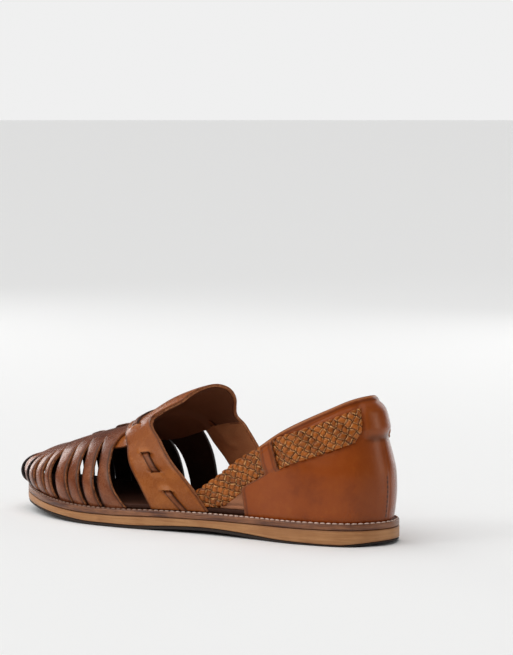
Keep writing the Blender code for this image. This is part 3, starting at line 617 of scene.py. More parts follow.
def build_vamp():
    """Lift = crown * (1 - |2a - 1|^3) + tilt of the rear edge + swell of the toe - tuck at the sole.

    The crown and the tilt fade out into the plug.
    """
    arc, rise, top, station = (grid[:, :, k, :] for k in range(4))
    a = across[None, :, None]
    length = np.arange(arc.shape[2])[None, None, :]
    in_strip = 1 - soft(length, STRIP_STEPS * 0.72, STRIP_STEPS * 1.12)
    toward_heel = np.where(np.arange(strips)[:, None, None] < strips // 2, 1 - a, a)
    crown = STRIP_CROWN * (1 - np.abs(2 * a - 1) ** 3)
    height = np.clip(rise / top, 0, 1)
    tilt = REAR_PROUD * (toward_heel - 0.5) * np.sin(np.pi * height) ** 0.7
    flare = TOE_FLARE * soft(arc, *FLARE_ARCS[:2]) * (1 - soft(arc, *FLARE_ARCS[1:]))
    swell = (TOE_PROUD * hump(arc, TOE_MIDDLE, TOE_HALF) + flare) * np.sin(np.pi * height ** 0.7) ** 1.2
    tuck = 0.5 * np.exp(-rise / 2.5)
    lift = crown * in_strip + tilt * in_strip + swell * (rise < top) - tuck
    points = on_last(arc, rise)
    normal = outward(arc, rise)
    points = points + normal * lift[..., None]
    spine = station[..., -1]
    points[..., -1, :] = np.stack([spine, curve(SECTIONS, spine, 2), curve(SECTIONS, spine, 1)], axis=-1)
    normal[..., -1, :] = outward(station_arc(spine, 1), girth(station_arc(spine, 1)) - 0.5)
    width = np.linalg.norm(points[:, -1] - points[:, 0], axis=-1)[:, None, :]
    edge = np.minimum(a, 1 - a) * width + 4 * (1 - in_strip)
    rows = strips * columns
    keep = np.ones((rows - 1, arc.shape[2] - 1), bool)
    keep[columns - 1::columns, :STRIP_STEPS] = False
    flat = (rows, arc.shape[2])
    # Each strip's crown is painted lighter than its edges: painted highlight.
    marks = {"edge": edge, "painted_relief_light": crown * in_strip / STRIP_CROWN,
             # Ink on every cut edge, and painted shade on those of the toe and inner side.
             "ink_and_shade": INK + TOE_INNER_SHADE * soft(arc, *TOE_INNER_SHADE_ARCS)}
    marks = {mark: np.broadcast_to(values, arc.shape).reshape(flat) for mark, values in marks.items()}
    return hide("vamp_strips", points.reshape(*flat, 3), normal.reshape(*flat, 3), LEATHER,
                (strip_leather, shaded_dark_flesh, strip_edge), keep, marks)


vamp = build_vamp()
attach(vamp, "root")
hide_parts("vamp")


# %% [markdown]
# ## The thong
#
# One long thong is laced through slits, in and out. Where it runs over the leather it shows; where it
# dives into a slit, it presses one lip of the slit down and lifts the other. A slit here is one narrow
# row of faces left out of the leather's grid.

# %% Lacing
SLIT_HALF = 0.45                # half the opening of a slit
LIP_LIFT, LIP_REACH = 1.25, 2.6
DIVE = 3.0                      # the thong needs this far each side of a slit to change level
THONG_HALF = 2.5
THONG_WALL = 1.2
THONG_OVER, THONG_UNDER = 0.2 + THONG_WALL, -LEATHER - GAP


def laced(t, slits, starts_over, reach):
    """1 where the thong runs over the leather and 0 under it: one soft step at every slit."""
    state, swap = np.full(np.shape(t), float(starts_over)), -1.0 if starts_over else 1.0
    for slit in slits:
        state = state + swap * soft(t, slit - reach, slit + reach)
        swap = -swap
    return state


def thong_lift(t, slits, starts_over, reach):
    """The thong's outer face: its wall above the leather where it lies over, below the leather elsewhere."""
    return THONG_UNDER + (THONG_OVER - THONG_UNDER) * laced(t, slits, starts_over, reach)


def slit_lips(t, slits, starts_over, unit):
    """Lift of the leather beside slits: down where the thong lies over it, up where it lies under."""
    lift, over_before = np.zeros(np.shape(t)), starts_over
    for slit in slits:
        away = (t - slit) * unit
        sign = np.sign(away) * (1 if over_before else -1)
        lift = lift + sign * LIP_LIFT * np.exp(-(np.abs(away) / LIP_REACH) ** 1.5)
        over_before = not over_before
    return lift


def split_at(places, slits, half):
    """The places, with two close ones round each slit instead of those that lie nearer to it."""
    free = places[np.abs(places[:, None] - np.array(slits)[None, :]).min(axis=1) > 1.6 * half]
    return np.sort(np.r_[free, [s - half for s in slits], [s + half for s in slits]])


thong_leather = grain_leather("dark_thong_leather", (0.07, 0.016, 0.004), (0.125, 0.031, 0.008),
                              (0.21, 0.06, 0.018), (0.06, 0.015, 0.005), gloss=0.3)


def ribbon(name, points, normal, wall, look):
    """A thong from a grid of points, rounded all along its sides."""
    distance = np.linalg.norm(np.diff(points, axis=1), axis=2).cumsum(axis=1)
    distance = np.concatenate([np.zeros((len(points), 1)), distance], axis=1)
    edge = np.minimum(distance, distance[:, -1:] - distance)
    # The thong's rounded sides are painted darker than its middle: painted shade.
    return hide(name, points, normal, wall, (look, look, look),
                marks={"edge": edge, "painted_relief_light": np.clip(edge, 0, 1)}, bulge=wall * 0.45)


# %% [markdown]
# ## The saddle and its tongue
#
# The band over the instep is one piece with the tongue that rises from it. The grid runs across the foot,
# from the outer sole over the ridge to the inner sole, and from the rear edge to the front edge. Each of
# these two edges is a table: how far forward it lies at each place across.

# %% Outline of the saddle
SADDLE_FRONT = np.array([
    # across (1 at the outer sole, 0 on the ridge, -1 at the inner sole), x of the rib's foot
    (-1, 141), (-0.85, 148), (-0.71, 156.7), (-0.594, 164), (-0.523, 167.5), (-0.456, 170.5),
    (-0.4, 173), (-0.35, 178), (-0.28, 187), (-0.155, 199), (0, 204),
    (0.15, 201), (0.31, 194), (0.47, 186.2), (0.66, 177.8), (0.83, 167.2), (1, 158.5)], float)
SADDLE_REAR = np.array([
    # across, x
    (-1, 106), (-0.8, 116), (-0.6, 127.5), (-0.44, 136), (-0.36, 142), (-0.3, 140.5), (-0.245, 138),
    (-0.155, 137), (-0.05, 140), (0.07, 145.5), (0.15, 149.5), (0.21, 153), (0.25, 163), (0.28, 170.6),
    (0.33, 170.6), (0.51, 158.5), (0.66, 147), (0.83, 131), (1, 117.5)], float)
SADDLE_THONG = np.array([
    # across, x of the thong's middle
    (-1, 128), (-0.8, 137), (-0.58, 149), (-0.3, 170), (0, 188), (0.33, 184), (0.58, 167.5),
    (0.74, 155.8), (0.87, 146.2), (1, 133.5)], float)
SADDLE_SLITS = (-0.87, -0.74, -0.60, -0.33, 0.33, 0.60, 0.74, 0.87)
RIB_LENGTH = 92.0               # of a rib under the saddle, to turn shares across into millimetres
SADDLE_GAP, CLEARS_PLUG, AT_SIDE_LEVEL = 0.6, 30.0, 46.0


def saddle_place(across, x, extra):
    """Points and normals of the saddle: over the vamp near the ridge, level with it lower down."""
    across, x, extra = np.broadcast_arrays(across, x, extra)
    arc = np.where(across >= 0, side_arc(x, 1), side_arc(x, -1))
    full = girth(arc)
    rise = FOOT + (1 - np.abs(across)) * (full - FOOT)
    lift = (SADDLE_GAP + LEATHER) * (1 - soft(full - rise, CLEARS_PLUG, AT_SIDE_LEVEL))
    normal = outward(arc, rise)
    return on_last(arc, rise) + normal * (lift + extra)[..., None], normal


# %% The saddle
suede = flesh_leather("brown_suede", (0.26, 0.085, 0.03), (0.5, 0.2, 0.085), 0.8)


def build_saddle():
    """Columns run rear edge - thong - front edge, with the thong's own width as a band of even columns."""
    places = split_at(np.linspace(-1, 1, 231), SADDLE_SLITS, SLIT_HALF / RIB_LENGTH)
    across = places[:, None]
    rear, front = curve(SADDLE_REAR, across), curve(SADDLE_FRONT, across)
    middle, half = curve(SADDLE_THONG, across), THONG_HALF + 0.7
    part = np.r_[edged(14, 0.04), 1 + np.linspace(0, 1, 7)[1:], 2 + edged(14, 0.05)[1:]][None, :]
    x = np.where(part < 1, rear + (middle - half - rear) * part,
                 np.where(part < 2, middle - half + 2 * half * (part - 1),
                          middle + half + (front - middle - half) * (part - 2)))
    beside = np.abs(x - middle) / half
    lips = slit_lips(across, SADDLE_SLITS, True, RIB_LENGTH) * (1 - soft(beside, 0.7, 1.9))
    from_edge = np.minimum(np.minimum(x - rear, front - x), 400)
    crown = 0.35 * (soft(from_edge, 0, 3.5) - 1)
    points, normal = saddle_place(across, x, lips + crown)
    slit_row = np.array([any(abs((a + b) / 2 - s) * RIB_LENGTH < SLIT_HALF / 2 for s in SADDLE_SLITS)
                         for a, b in zip(places, places[1:])])
    in_band = (part[0, :-1] >= 1) & (part[0, 1:] <= 2)
    keep = ~(slit_row[:, None] & in_band[None, :])
    near_slit = np.min(np.abs(across[:, :, None] - np.array(SADDLE_SLITS)), axis=2) * RIB_LENGTH
    edge = np.minimum(from_edge, 0.9 + np.maximum(near_slit, (beside - 1) * half))
    order = slice(None, None, -1)
    # Lips lifted beside the slits are painted lighter and pressed ones darker: painted highlight and painted
    # shade.
    return hide("saddle_leather_piece", points[order], normal[order], LEATHER,
                (saddle_leather, suede, tan_edge), keep[order],
                {"edge": edge[order], "painted_relief_light": np.clip(0.5 + 1.6 * lips, 0, 1.8)[order]}, bulge=0.7)


saddle = build_saddle()
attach(saddle, "root")
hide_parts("saddle")


# %% [markdown]
# A lining is a thinner leather stuck behind the outer one. Here each is a second sheet on the same grid of
# places, lowered by the outer leather's wall.

# %% The linings of tongue and band
lining_leather = flesh_leather("dark_tongue_lining", (0.1, 0.034, 0.014), (0.19, 0.068, 0.03), 0.6)
LINING_WALL, LINING_AIR = 0.9, 0.06     # thickness, and the air behind the outer leather
VAMP_REAR = np.array([
    # across, x at which the vamp begins
    (-0.42, 171), (-0.33, 173), (0, 190), (0.33, 194), (0.47, 192)], float)


def build_tongue_lining():
    """A sheet under the tongue that goes on under the vamp's uncut ridge, down to the heads of its slits."""
    across = np.linspace(-0.42, 0.47, 130)[:, None]
    inside_tongue = curve(SADDLE_REAR, across) + 1.3 + 9 * soft(across, 0.24, 0.33)
    rear = np.maximum(inside_tongue, 184 * soft(across, 0.3, 0.35))
    front = 220.0 - 4 * np.abs(across + 0.04) / 0.38
    x = rear + (front - rear) * np.linspace(0, 1, 80)[None, :]
    under_saddle, normal = saddle_place(across, x, -LEATHER - LINING_AIR)
    vamp_rear = lines(VAMP_REAR, across)
    vamp_part = soft(x, vamp_rear - 9, vamp_rear - 2)
    level = (SADDLE_GAP + LEATHER) * (1 - soft(np.abs(across) * 82, CLEARS_PLUG, AT_SIDE_LEVEL))
    points = under_saddle - normal * (vamp_part * (level + 0.15))[..., None]
    return hide("tongue_lining", points[::-1], normal[::-1], LINING_WALL,
                (saddle_leather, lining_leather, lining_leather), marks={"edge": 5.0, "painted_relief_light": 0.5})


def build_band_lining(name, start, end, out):
    """A second layer inside the band, from one place across to another; it stands out past the rear edge."""
    across = np.linspace(start, end, 110)[:, None]
    rear, front = curve(SADDLE_REAR, across) - out, curve(SADDLE_FRONT, across) - 1.5
    x = rear + (front - rear) * edged(30, 0.03)[None, :]
    middle = curve(SADDLE_THONG, across)
    under = 1.5 * (1 - laced(across, SADDLE_SLITS, True, DIVE / RIB_LENGTH)) * hump(x, middle, 5.0)
    points, normal = saddle_place(across, x, -LEATHER - LINING_AIR - under)
    return hide(name, points[::-1], normal[::-1], LINING_WALL, (suede, suede, tan_edge), bulge=0.3)


for lining in (build_tongue_lining(), build_band_lining("outer_band_lining", 0.26, 1, 0.4),
               build_band_lining("inner_band_lining", -1, -0.405, -0.8)):
    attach(lining, "root")


# %% The thong round the saddle
def build_saddle_thong():
    """Places across the foot, and offsets d across the thong, whose edges lie a little lower."""
    places = np.linspace(-1, 1, 361)[:, None]
    lift = thong_lift(places, SADDLE_SLITS, True, DIVE / RIB_LENGTH)
    d = np.linspace(-THONG_HALF, THONG_HALF, 7)[None, :]
    x = curve(SADDLE_THONG, places) + d
    crown = -0.25 * (d / THONG_HALF) ** 4
    points, normal = saddle_place(places + 0 * d, x, lift + crown)
    return ribbon("saddle_thong_piece", points[::-1], normal[::-1], THONG_WALL, thong_leather)


saddle_thong = build_saddle_thong()
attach(saddle_thong, "root")
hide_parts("saddle_thong")


# %% The thong down the ridge
VAMP_SLITS = (215.0, 227.0, 237.0, 248.0)
VAMP_THONG = (205.0, 257.0)


def on_ridge(station, d, lift):
    """Points and normals d from the ridge over the surface, to the inner side positive."""
    station, d, lift = np.broadcast_arrays(station, d, lift)
    arc = np.where(d <= 0, station_arc(station, 1), station_arc(station, -1))
    rise = girth(arc) - np.abs(d)
    normal = outward(arc, rise)
    return on_last(arc, rise) + normal * lift[..., None], normal


def build_vamp_thong():
    """As on the saddle, along the stations of the spine; the ridge's own fold is smoothed away."""
    t = np.linspace(*VAMP_THONG, 120)[:, None]
    lift = thong_lift(t, VAMP_SLITS, False, DIVE)
    d = np.linspace(-THONG_HALF, THONG_HALF, 8)[None, :]
    points, normal = on_ridge(t, d, lift - 0.2 * (d / THONG_HALF) ** 4)
    return ribbon("vamp_thong_piece", points, normal, THONG_WALL, thong_leather)


vamp_thong = build_vamp_thong()
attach(vamp_thong, "root")
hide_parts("vamp_thong")


# %% [markdown]
# ## The quarter
#
# The heel and both sides are one leather. The woven strap lies on it, dives through a slit, and comes out
# again in front of it. The leather ahead of the slit is a bridge over the strap: it is lifted, and its
# cut edge shows. The leather behind the slit is pressed in. At the back a padded tab rises to the collar.

# %% Outline of the quarter
COLLAR = np.array([
    # arc from the centre of the heel, rise
    (0, 78.8), (10, 78.2), (25, 75.8), (39, 71), (59, 62.2), (74, 54.2), (90, 44), (104, 35)], float)
QUARTER_FRONT = np.array([
    # share of the collar's rise, arc
    (0, 101.6), (0.27, 102.4), (0.44, 103.6), (0.496, 102.2), (0.53, 95), (0.56, 87), (0.58, 84.6),
    (0.62, 84.8), (0.74, 87.2), (1, 89.8)], float)
SLIT_LOW, SLIT_HIGH = 0.573, 0.975      # the strap's slit, as shares of the collar's rise
SLIT_ARC_LOW, SLIT_ARC_HIGH = 73.8, 80.6
SLIT_OPENING = 0.8
BRIDGE_LIFT, LIP_SINK = 1.5, 2.6
TAB_HALF, TAB_FOOT, TAB_HEAD, TAB_LIFT = 16.0, (51.5, 58.0), (67.0, 79.0), 2.6


def collar_rise(arc):
    return curve(COLLAR, np.abs(arc))


# %% Leather of the quarter
SEAM_ARC = 2.1                          # the seam's place beside the heel's middle
SEAM_WAVE = 2.1                         # radians of the stitches' sine in a millimetre: a stitch each 3 mm


def heel_stitches_and_painted_light(f, colour):
    """Stitches by the heel's middle; painted shade on the heel, in a crease and by the edges; painted edge
    highlight.
    """
    arc, rise, edge = f.mark("arc"), f.mark("rise"), f.mark("edge")
    beside = abs(arc - SEAM_ARC)
    length = f.smooth(rise, 1.0, 4.0) * (1 - f.smooth(rise, 26.0, 31.0))
    stitch = f.smooth((rise * SEAM_WAVE).sine(), -0.6, 0.2)
    line = (1 - f.smooth(beside, 0.3, 0.9)) * length * (stitch * 0.5 + 0.4)
    # Painted shade: the heel darkens towards its middle, and a dark line follows the crease under the tab.
    heel = (1 - f.smooth(abs(arc), 14.0, 30.0)) * 0.45
    painted_crease_shade = (1 - f.smooth(abs(rise - 52.0), 0.4, 3.4)) * (1 - f.smooth(abs(arc), 9.0, 17.0)) * 0.48
    colour = f.mix(heel, colour, (0.17, 0.036, 0.009))
    # Painted shade: a dark line 1 to 3 mm inside the cut edges, below the rolled collar and along the front
    # edges.
    fold = f.smooth(edge, 1.1, 1.9) * (1 - f.smooth(edge, 2.2, 3.4))
    colour = f.mix(fold * 0.55, colour, (0.075, 0.015, 0.004))
    # Painted highlight: a pale rim on the collar's rolled edge, fainter on the front edges.
    pale = (1 - f.smooth(edge, 0.3, 1.2)) * (0.7 - f.smooth(f.mark("below_collar"), 1.5, 4.0) * 0.5)
    colour = f.mix(pale, colour, (0.48, 0.17, 0.05))
    return f.mix((line + painted_crease_shade).clamp(), colour, (0.035, 0.008, 0.003))


quarter_leather = grain_leather("glossy_tan_leather", (0.22, 0.04, 0.005), (0.28, 0.054, 0.006),
                                (0.34, 0.074, 0.009), (0.11, 0.021, 0.003), gloss=0.23, detail=heel_stitches_and_painted_light)


def tab_lift(arc, rise):
    """The heel tab's padding: a pillow with a soft edge."""
    across = 1 - soft(np.abs(arc), TAB_HALF - 3, TAB_HALF + 1.5)
    return TAB_LIFT * across * soft(rise, *TAB_FOOT) * (1 - soft(rise, *TAB_HEAD))


# %% The quarter
def build_quarter():
    """Columns of each side: heel to slit, the slit, slit to front; levels from the sole to the collar."""
    level = np.sort(np.r_[np.linspace(0, 1, 88), SLIT_LOW, SLIT_HIGH, 0.99])[None, :]
    slit = SLIT_ARC_LOW + (SLIT_ARC_HIGH - SLIT_ARC_LOW) * (level - SLIT_LOW) / (SLIT_HIGH - SLIT_LOW)
    opening = SLIT_OPENING / 2 * ((level >= SLIT_LOW) & (level <= SLIT_HIGH))
    front = lines(QUARTER_FRONT, level)
    heel_part = np.linspace(0, 1, 76)[:, None]
    bridge_part = edged(13, 0.06)[:, None]
    half = np.vstack([(slit - opening) * heel_part, slit + opening + (front - slit - opening) * bridge_part])
    arc = np.vstack([-half[:0:-1], half])
    rise = FOOT + level * (collar_rise(arc) - FOOT)
    along = np.abs(arc) - slit
    above_foot = soft(level, SLIT_LOW - 0.012, SLIT_LOW + 0.05)
    in_slit = above_foot * (1 - soft(level, SLIT_HIGH - 0.05, SLIT_HIGH + 0.012))
    bridge = BRIDGE_LIFT * (1 - 0.55 * soft(along, 1, 10)) * (along > 0)
    sunk = -LIP_SINK * (1 - soft(-along, 0, 11)) * (along < 0)
    collar_edge = collar_rise(arc) - rise
    roll = 0.35 * hump(collar_edge, 1.6, 1.1) - 0.28 * hump(collar_edge, 4.2, 0.8)
    seam = -0.35 * hump(arc, 0, 0.7) * (1 - soft(rise, TAB_FOOT[0] - 4, TAB_FOOT[0] + 2))
    lift = tab_lift(arc, rise) + (bridge + sunk) * in_slit + roll + seam
    points, normal = on_last(arc, rise), outward(arc, rise)
    points = points + normal * lift[..., None]
    rows, columns = arc.shape
    keep = np.ones((rows - 1, columns - 1), bool)
    slit_row, open_levels = len(heel_part) - 1, (level[0, :-1] >= SLIT_LOW) & (level[0, 1:] <= SLIT_HIGH)
    middle = len(half) - 1
    keep[middle + slit_row, open_levels] = keep[middle - slit_row - 1, open_levels] = False
    edge = np.minimum(np.minimum(collar_edge, front - np.abs(arc)), 12)
    edge = np.where(in_slit > 0, np.minimum(edge, np.abs(along)), edge)
    # The padded tab is painted lighter than the rest of the quarter: painted highlight.
    return hide("quarter_piece", points, normal, LEATHER, (quarter_leather, pale_lining, quarter_edge), keep,
                {"edge": edge, "arc": arc, "rise": rise + 0 * arc, "below_collar": collar_edge,
                 "painted_relief_light": np.clip(tab_lift(arc, rise) / 4 + 0.3, 0, 1)}, bulge=0.7)


quarter_edge = cut_edge("quarter_edge", (0.11, 0.026, 0.006), (0.28, 0.08, 0.02))
pale_lining = flesh_leather("pale_lining", (0.2, 0.095, 0.055), (0.42, 0.235, 0.15), 0.6)
quarter = build_quarter()
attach(quarter, "root")
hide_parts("quarter")


# %% [markdown]
# ## The woven straps
#
# Each strap is a flat braid: two families of narrow strands cross at a right angle, forty-five degrees to
# the strap, and take turns on top. As a surface that is a height over the strap's own two coordinates:
# for each family a rounded strand that rises where it crosses over and sinks where it crosses under, and
# everywhere the higher of the two.

# %% Path of the strap
STRAP = np.array([
    # arc, rise
    (14, 62.6), (26, 58.6), (43, 52.8), (58, 47.5), (77, 40.4), (90, 34.5), (103, 28),
    (112, 21.6), (121, 15.2), (131, 8.5), (149, -3.6)], float)
STRAP_HALF = 9.0
STRAP_WALL = 1.5
STRAP_BACK, BACK_SLANT, BACK_CORNER = 3.6, 0.36, 5.5    # the upper end: place, lean, what its corner lacks
STRAP_FOOT, FOOT_SLANT = 4.0, 0.83                      # the lower end: height of its middle, and lean
STRAP_OVER, STRAP_AT_SLIT, STRAP_UNDER = 2.2, -0.4, -2.3
STRAND = 4.3                    # from one strand to the next
DIAGONAL = STRAND * 1.4142      # the same along the strap
WEAVE_RELIEF, WEAVE_MIDDLE = 1.7, 0.7
strap_along = np.r_[0, np.cumsum(np.hypot(*np.diff(STRAP, axis=0).T))]


def strap_place(t, w, side):
    """Arc and rise at t along the strap and w across it, up to the collar positive."""
    arcs, rises = np.c_[strap_along, STRAP[:, 0]], np.c_[strap_along, STRAP[:, 1]]
    heading = np.stack([curve(arcs, t + 1) - curve(arcs, t - 1), curve(rises, t + 1) - curve(rises, t - 1)])
    heading = heading / np.hypot(*heading)
    return side * (curve(arcs, t) - w * heading[1]), curve(rises, t) + w * heading[0]


def weave(t, w):
    """Height of the braid, the higher of two families of flat strands that rise and sink in turn; the upper
    strand's tone; and how far a place is from that strand's sides and from where it dives, 1 in its middle.
    """
    pulled = 0.5 * np.sin(0.33 * t + 0.8 * w) + 0.35 * np.sin(0.71 * t - 0.4 * w + 1)
    p, q = (t + w + pulled) / DIAGONAL, (t - w + 0.8 * pulled) / DIAGONAL
    strand_p, strand_q = np.floor(p), np.floor(q)
    turn = np.where((strand_p + strand_q) % 2 == 0, 1.0, -1.0)
    across_p, across_q = np.abs(p - strand_p - 0.5) * 2, np.abs(q - strand_q - 0.5) * 2
    one = 0.5 + 0.5 * turn * np.cos(np.pi * across_q / 2) - 0.7 * across_p ** 4
    two = 0.5 - 0.5 * turn * np.cos(np.pi * across_p / 2) - 0.7 * across_q ** 4
    tone = 0.5 + 0.5 * np.sin(strand_p * 12.9 + strand_q * 7.7)
    side = 1 - np.where(turn > 0, across_p, across_q)
    dive = 1 - np.where(turn > 0, across_q, across_p)
    return np.maximum(one, two), tone, side, dive


# %% The straps
def woven(name, painted_gap_shadow, strand, painted_crest_highlight, pale_cut_side_and_highlight):
    """Own tone per strand, painted highlight on crests, pale cut sides also as highlight, painted shadow at
    dives.
    """
    f = Finish(name, IOR=1.5, Specular_Tint=(1.0, 0.75, 0.5, 1))
    side, dive, tone = f.mark("side"), f.mark("dive"), f.mark("tone")
    fine = f.noise(420.0, 3.0, roughness=0.6)
    # Painted highlight: the crests of the strands are lighter.
    crest_highlight_share = f.smooth(f.mark("height"), 0.55, 1.0)
    body = f.mix((tone * 0.4 + fine * 0.8 + crest_highlight_share * 0.4 - 0.4).clamp(), strand, painted_crest_highlight)
    # Pale sides of the strands: raw cut edge colour and painted highlight at once.
    cut = 1 - f.smooth(side + (fine - 0.5) * 0.7, 0.08, 0.3)
    colour = f.mix(cut * 0.8, body, pale_cut_side_and_highlight)
    # Painted shadow: near-black where a strand dives under the next.
    colour = f.mix(f.smooth(dive + (fine - 0.5) * 0.5, 0.0, 0.42), painted_gap_shadow, colour)
    return f.finish(colour, 0.25 + (fine - 0.5) * 0.3, f.bump(fine, 0.00025))


woven_leather = woven("woven_golden_leather", (0.05, 0.01, 0.002), (0.145, 0.028, 0.003),
                      (0.47, 0.127, 0.016), (0.85, 0.42, 0.15))


def build_strap(name, side):
    """Lift = the strap's own way over, through and under the quarter + the weave, thinner at the sides."""
    share = np.linspace(0, 1, 431)[:, None]
    w = (STRAP_HALF - 0.2) * np.linspace(-1, 1, 55)[None, :]
    start = STRAP_BACK - BACK_SLANT * w + BACK_CORNER * soft(-w, 3, STRAP_HALF)
    end = np.interp(-(STRAP_FOOT - FOOT_SLANT * w), -STRAP[:, 1], strap_along)
    t = start + (end - start) * share
    height, tone, side_mark, dive_mark = weave(t, w)
    scallop = 0.45 * np.abs(np.sin(np.pi * (t + w) / DIAGONAL))
    w_out = w * (1 + (scallop - 0.25) / STRAP_HALF * soft(np.abs(w), STRAP_HALF - 3, STRAP_HALF))
    arc, rise = strap_place(t, w_out, side)
    slit_t = np.interp((SLIT_ARC_LOW + SLIT_ARC_HIGH) / 2, STRAP[:, 0], strap_along)
    dive = soft(t, slit_t - 9, slit_t + 1.2)
    under = soft(t, slit_t, slit_t + 5)
    level = STRAP_OVER + (STRAP_AT_SLIT - STRAP_OVER) * dive + (STRAP_UNDER - STRAP_AT_SLIT) * under
    edge_drop = 0.5 * soft(np.abs(w), STRAP_HALF - 2.2, STRAP_HALF)
    tuck = soft(t - start, 0, 4) - 1
    normal = outward(arc, rise)
    lift = level + WEAVE_RELIEF * (height - WEAVE_MIDDLE) - edge_drop + 0.7 * tuck
    points = on_last(arc, rise) + normal * lift[..., None]
    order = slice(None, None, side)
    marks = {"height": height, "side": side_mark, "dive": dive_mark, "tone": tone}
    return hide(name, points[order], normal[order], STRAP_WALL, [woven_leather] * 3,
                marks={mark: values[order] for mark, values in marks.items()}, bulge=0.5)


for name, side in (("outer", 1), ("inner", -1)):
    strap = build_strap(f"woven_strap_{name}", side)
    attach(strap, "root")
    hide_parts(f"braided_strap_{name}")


# %% [markdown]
# ## The sole
#
# Four layers: a thin black rubber tread, a thick light leather outsole, a dark welt that the upper is
# stitched to, and the insole inside. Each is a slab between two heights over x, with a profile of insets
# round its rim.

# %% Heights of the sole
TREAD_FLATS = (62.0, 172.0, 205.0)      # end of the heel's flat, start and end of the ball's
ARCH_RISE, TOE_SPRING = 2.2, 8.2
HEEL_WORN, WORN_REACH = 2.2, 18.0       # the heel's back edge is worn up, over its last millimetres
THIN_HEEL, THIN_TOE = 1.1, 0.8          # what the tread lacks in thickness there


def sole_bottom(x):
    """Flat at heel and ball, a sine arch at the waist, power curves up to the toe and the heel's back."""
    heel_end, ball_start, ball_end = TREAD_FLATS
    waist = np.clip((x - heel_end) / (ball_start - heel_end), 0, 1)
    toe = np.clip((x - ball_end) / (LENGTH - ball_end), 0, 1)
    worn = np.clip(1 - x / WORN_REACH, 0, 1)
    return ARCH_RISE * np.sin(np.pi * waist) ** 1.5 + TOE_SPRING * toe ** 1.3 + HEEL_WORN * worn ** 1.2


def tread_top(x):
    """The tread thins out towards the heel's back and the toe."""
    return sole_bottom(x) + TREAD - THIN_HEEL * (1 - soft(x, 20, 90)) - THIN_TOE * soft(x, 220, 280)


def welt_top(x):
    return curve(SOLE_TOP, x)


def outsole_top(x):
    return welt_top(x) - MIDSOLE - GAP


def insole_top(x):
    return welt_top(x) + GAP + INSOLE


# %% A slab between two heights
def slab(name, low, high, profile, look, reach=None):
    """A slab between two heights; profile rows are an inset and a share of the way up.

    Stations lie close together at both ends, and each ring of the profile has both sides' y there. A slab
    with a reach ends at that x, where both sides run together along a quarter ellipse.
    """
    count = 300
    rings, levels = [], []
    for inset, share in profile:
        ring = sole_edge - edge_out * inset
        turn = np.argmax(ring[:, 0])
        outer, inner = ring[:turn + 1], np.vstack([ring[turn:], ring[:1]])[::-1]
        end = reach - inset if reach else ring[:, 0].max()
        x = ring[:, 0].min() + (end - ring[:, 0].min()) * (1 - np.cos(np.linspace(0, np.pi, count))) / 2
        z = low(x) + (high(x) - low(x)) * share
        ending = np.sqrt(1 - np.clip((x - end) / 18 + 1, 0, 1) ** 2) if reach else 1
        for edge in (outer, inner):
            y = np.interp(x, np.maximum.accumulate(edge[:, 0]), edge[:, 1])
            y = y * ending + MIDDLE_Y * (1 - ending)
            rings.append(np.stack([x, y, z], axis=1))
            levels.append(np.full(count, share))
    k = np.arange(count - 1)
    last = 2 * count * (len(profile) - 1)
    faces = [np.stack([k, k + 1, count + k + 1, count + k], axis=1),
             np.stack([last + k, last + count + k, last + count + k + 1, last + k + 1], axis=1)]
    for ring in range(len(profile) - 1):
        down, up = 2 * count * ring + k, 2 * count * (ring + 1) + k
        faces.append(np.stack([down, up, up + 1, down + 1], axis=1))
        down, up = down + count, up + count
        faces.append(np.stack([down, down + 1, up + 1, up], axis=1))
    points = np.vstack(rings)
    first, number = merge_points(points)
    faces = number[np.vstack(faces)]
    faces = faces[[len(set(f)) > 2 for f in faces.tolist()]]
    piece = new_mesh(name, points[first], faces, [look], marks={"level": np.concatenate(levels)[first]})
    piece.data.set_sharp_from_angle(angle=0.9)
    print(f"{name}: {len(faces)} faces")
    return piece


def rounded(inset, radius, depth, steps=4):
    """A profile with quarter-round corners: rows of inset and share of the depth, from below to above."""
    turn = np.linspace(0, np.pi / 2, steps + 1)
    rows = [(inset + radius * (1 - np.sin(a)), radius * (1 - np.cos(a)) / depth) for a in turn]
    return rows + [(i, 1 - s) for i, s in rows[::-1]]


# %% Finishes of the sole
def layered_leather(name, dark, pale, line, gloss):
    """Colour in thin layers along the mark level, broken by noise; fine scratches follow the layers."""
    f = Finish(name, IOR=1.5)
    level = f.mark("level")
    stretched = f.node("ShaderNodeMapping", {}, {"Vector": f.place(), "Scale": (40, 40, 900)})
    bands = f.noise(1.0, 5.0, stretched, 0.6)
    patches = f.noise(60.0, 3.0)
    colour = f.mix(f.smooth(bands * 0.6 + patches * 0.4, 0.36, 0.64), dark, pale)
    rims = f.smooth(level, 0.86, 0.99) + 1 - f.smooth(level, 0.02, 0.14)
    colour = f.mix(rims * 0.7, colour, line)
    return f.finish(colour, gloss + bands * 0.2, f.bump(bands, 0.00025))


rubber = Finish("black_rubber", IOR=1.45)
rubber_grain = rubber.noise(500.0, 3.0)
rubber_look = rubber.finish(rubber.mix(rubber_grain, (0.014, 0.009, 0.006), (0.035, 0.022, 0.016)),
                            0.6 + rubber_grain * 0.2, rubber.bump(rubber_grain, 0.0002))
outsole_look = layered_leather("stacked_leather", (0.35, 0.145, 0.045), (0.48, 0.23, 0.085),
                               (0.24, 0.09, 0.03), 0.4)
welt_look = layered_leather("dark_welt", (0.075, 0.02, 0.008), (0.3, 0.12, 0.05),
                            (0.1, 0.03, 0.012), 0.27)
# Near-black insole: painted shade of the shoe's inside under the upper.
shaded_insole_look = flesh_leather("insole_leather", (0.035, 0.012, 0.007), (0.08, 0.03, 0.017), 0.6)

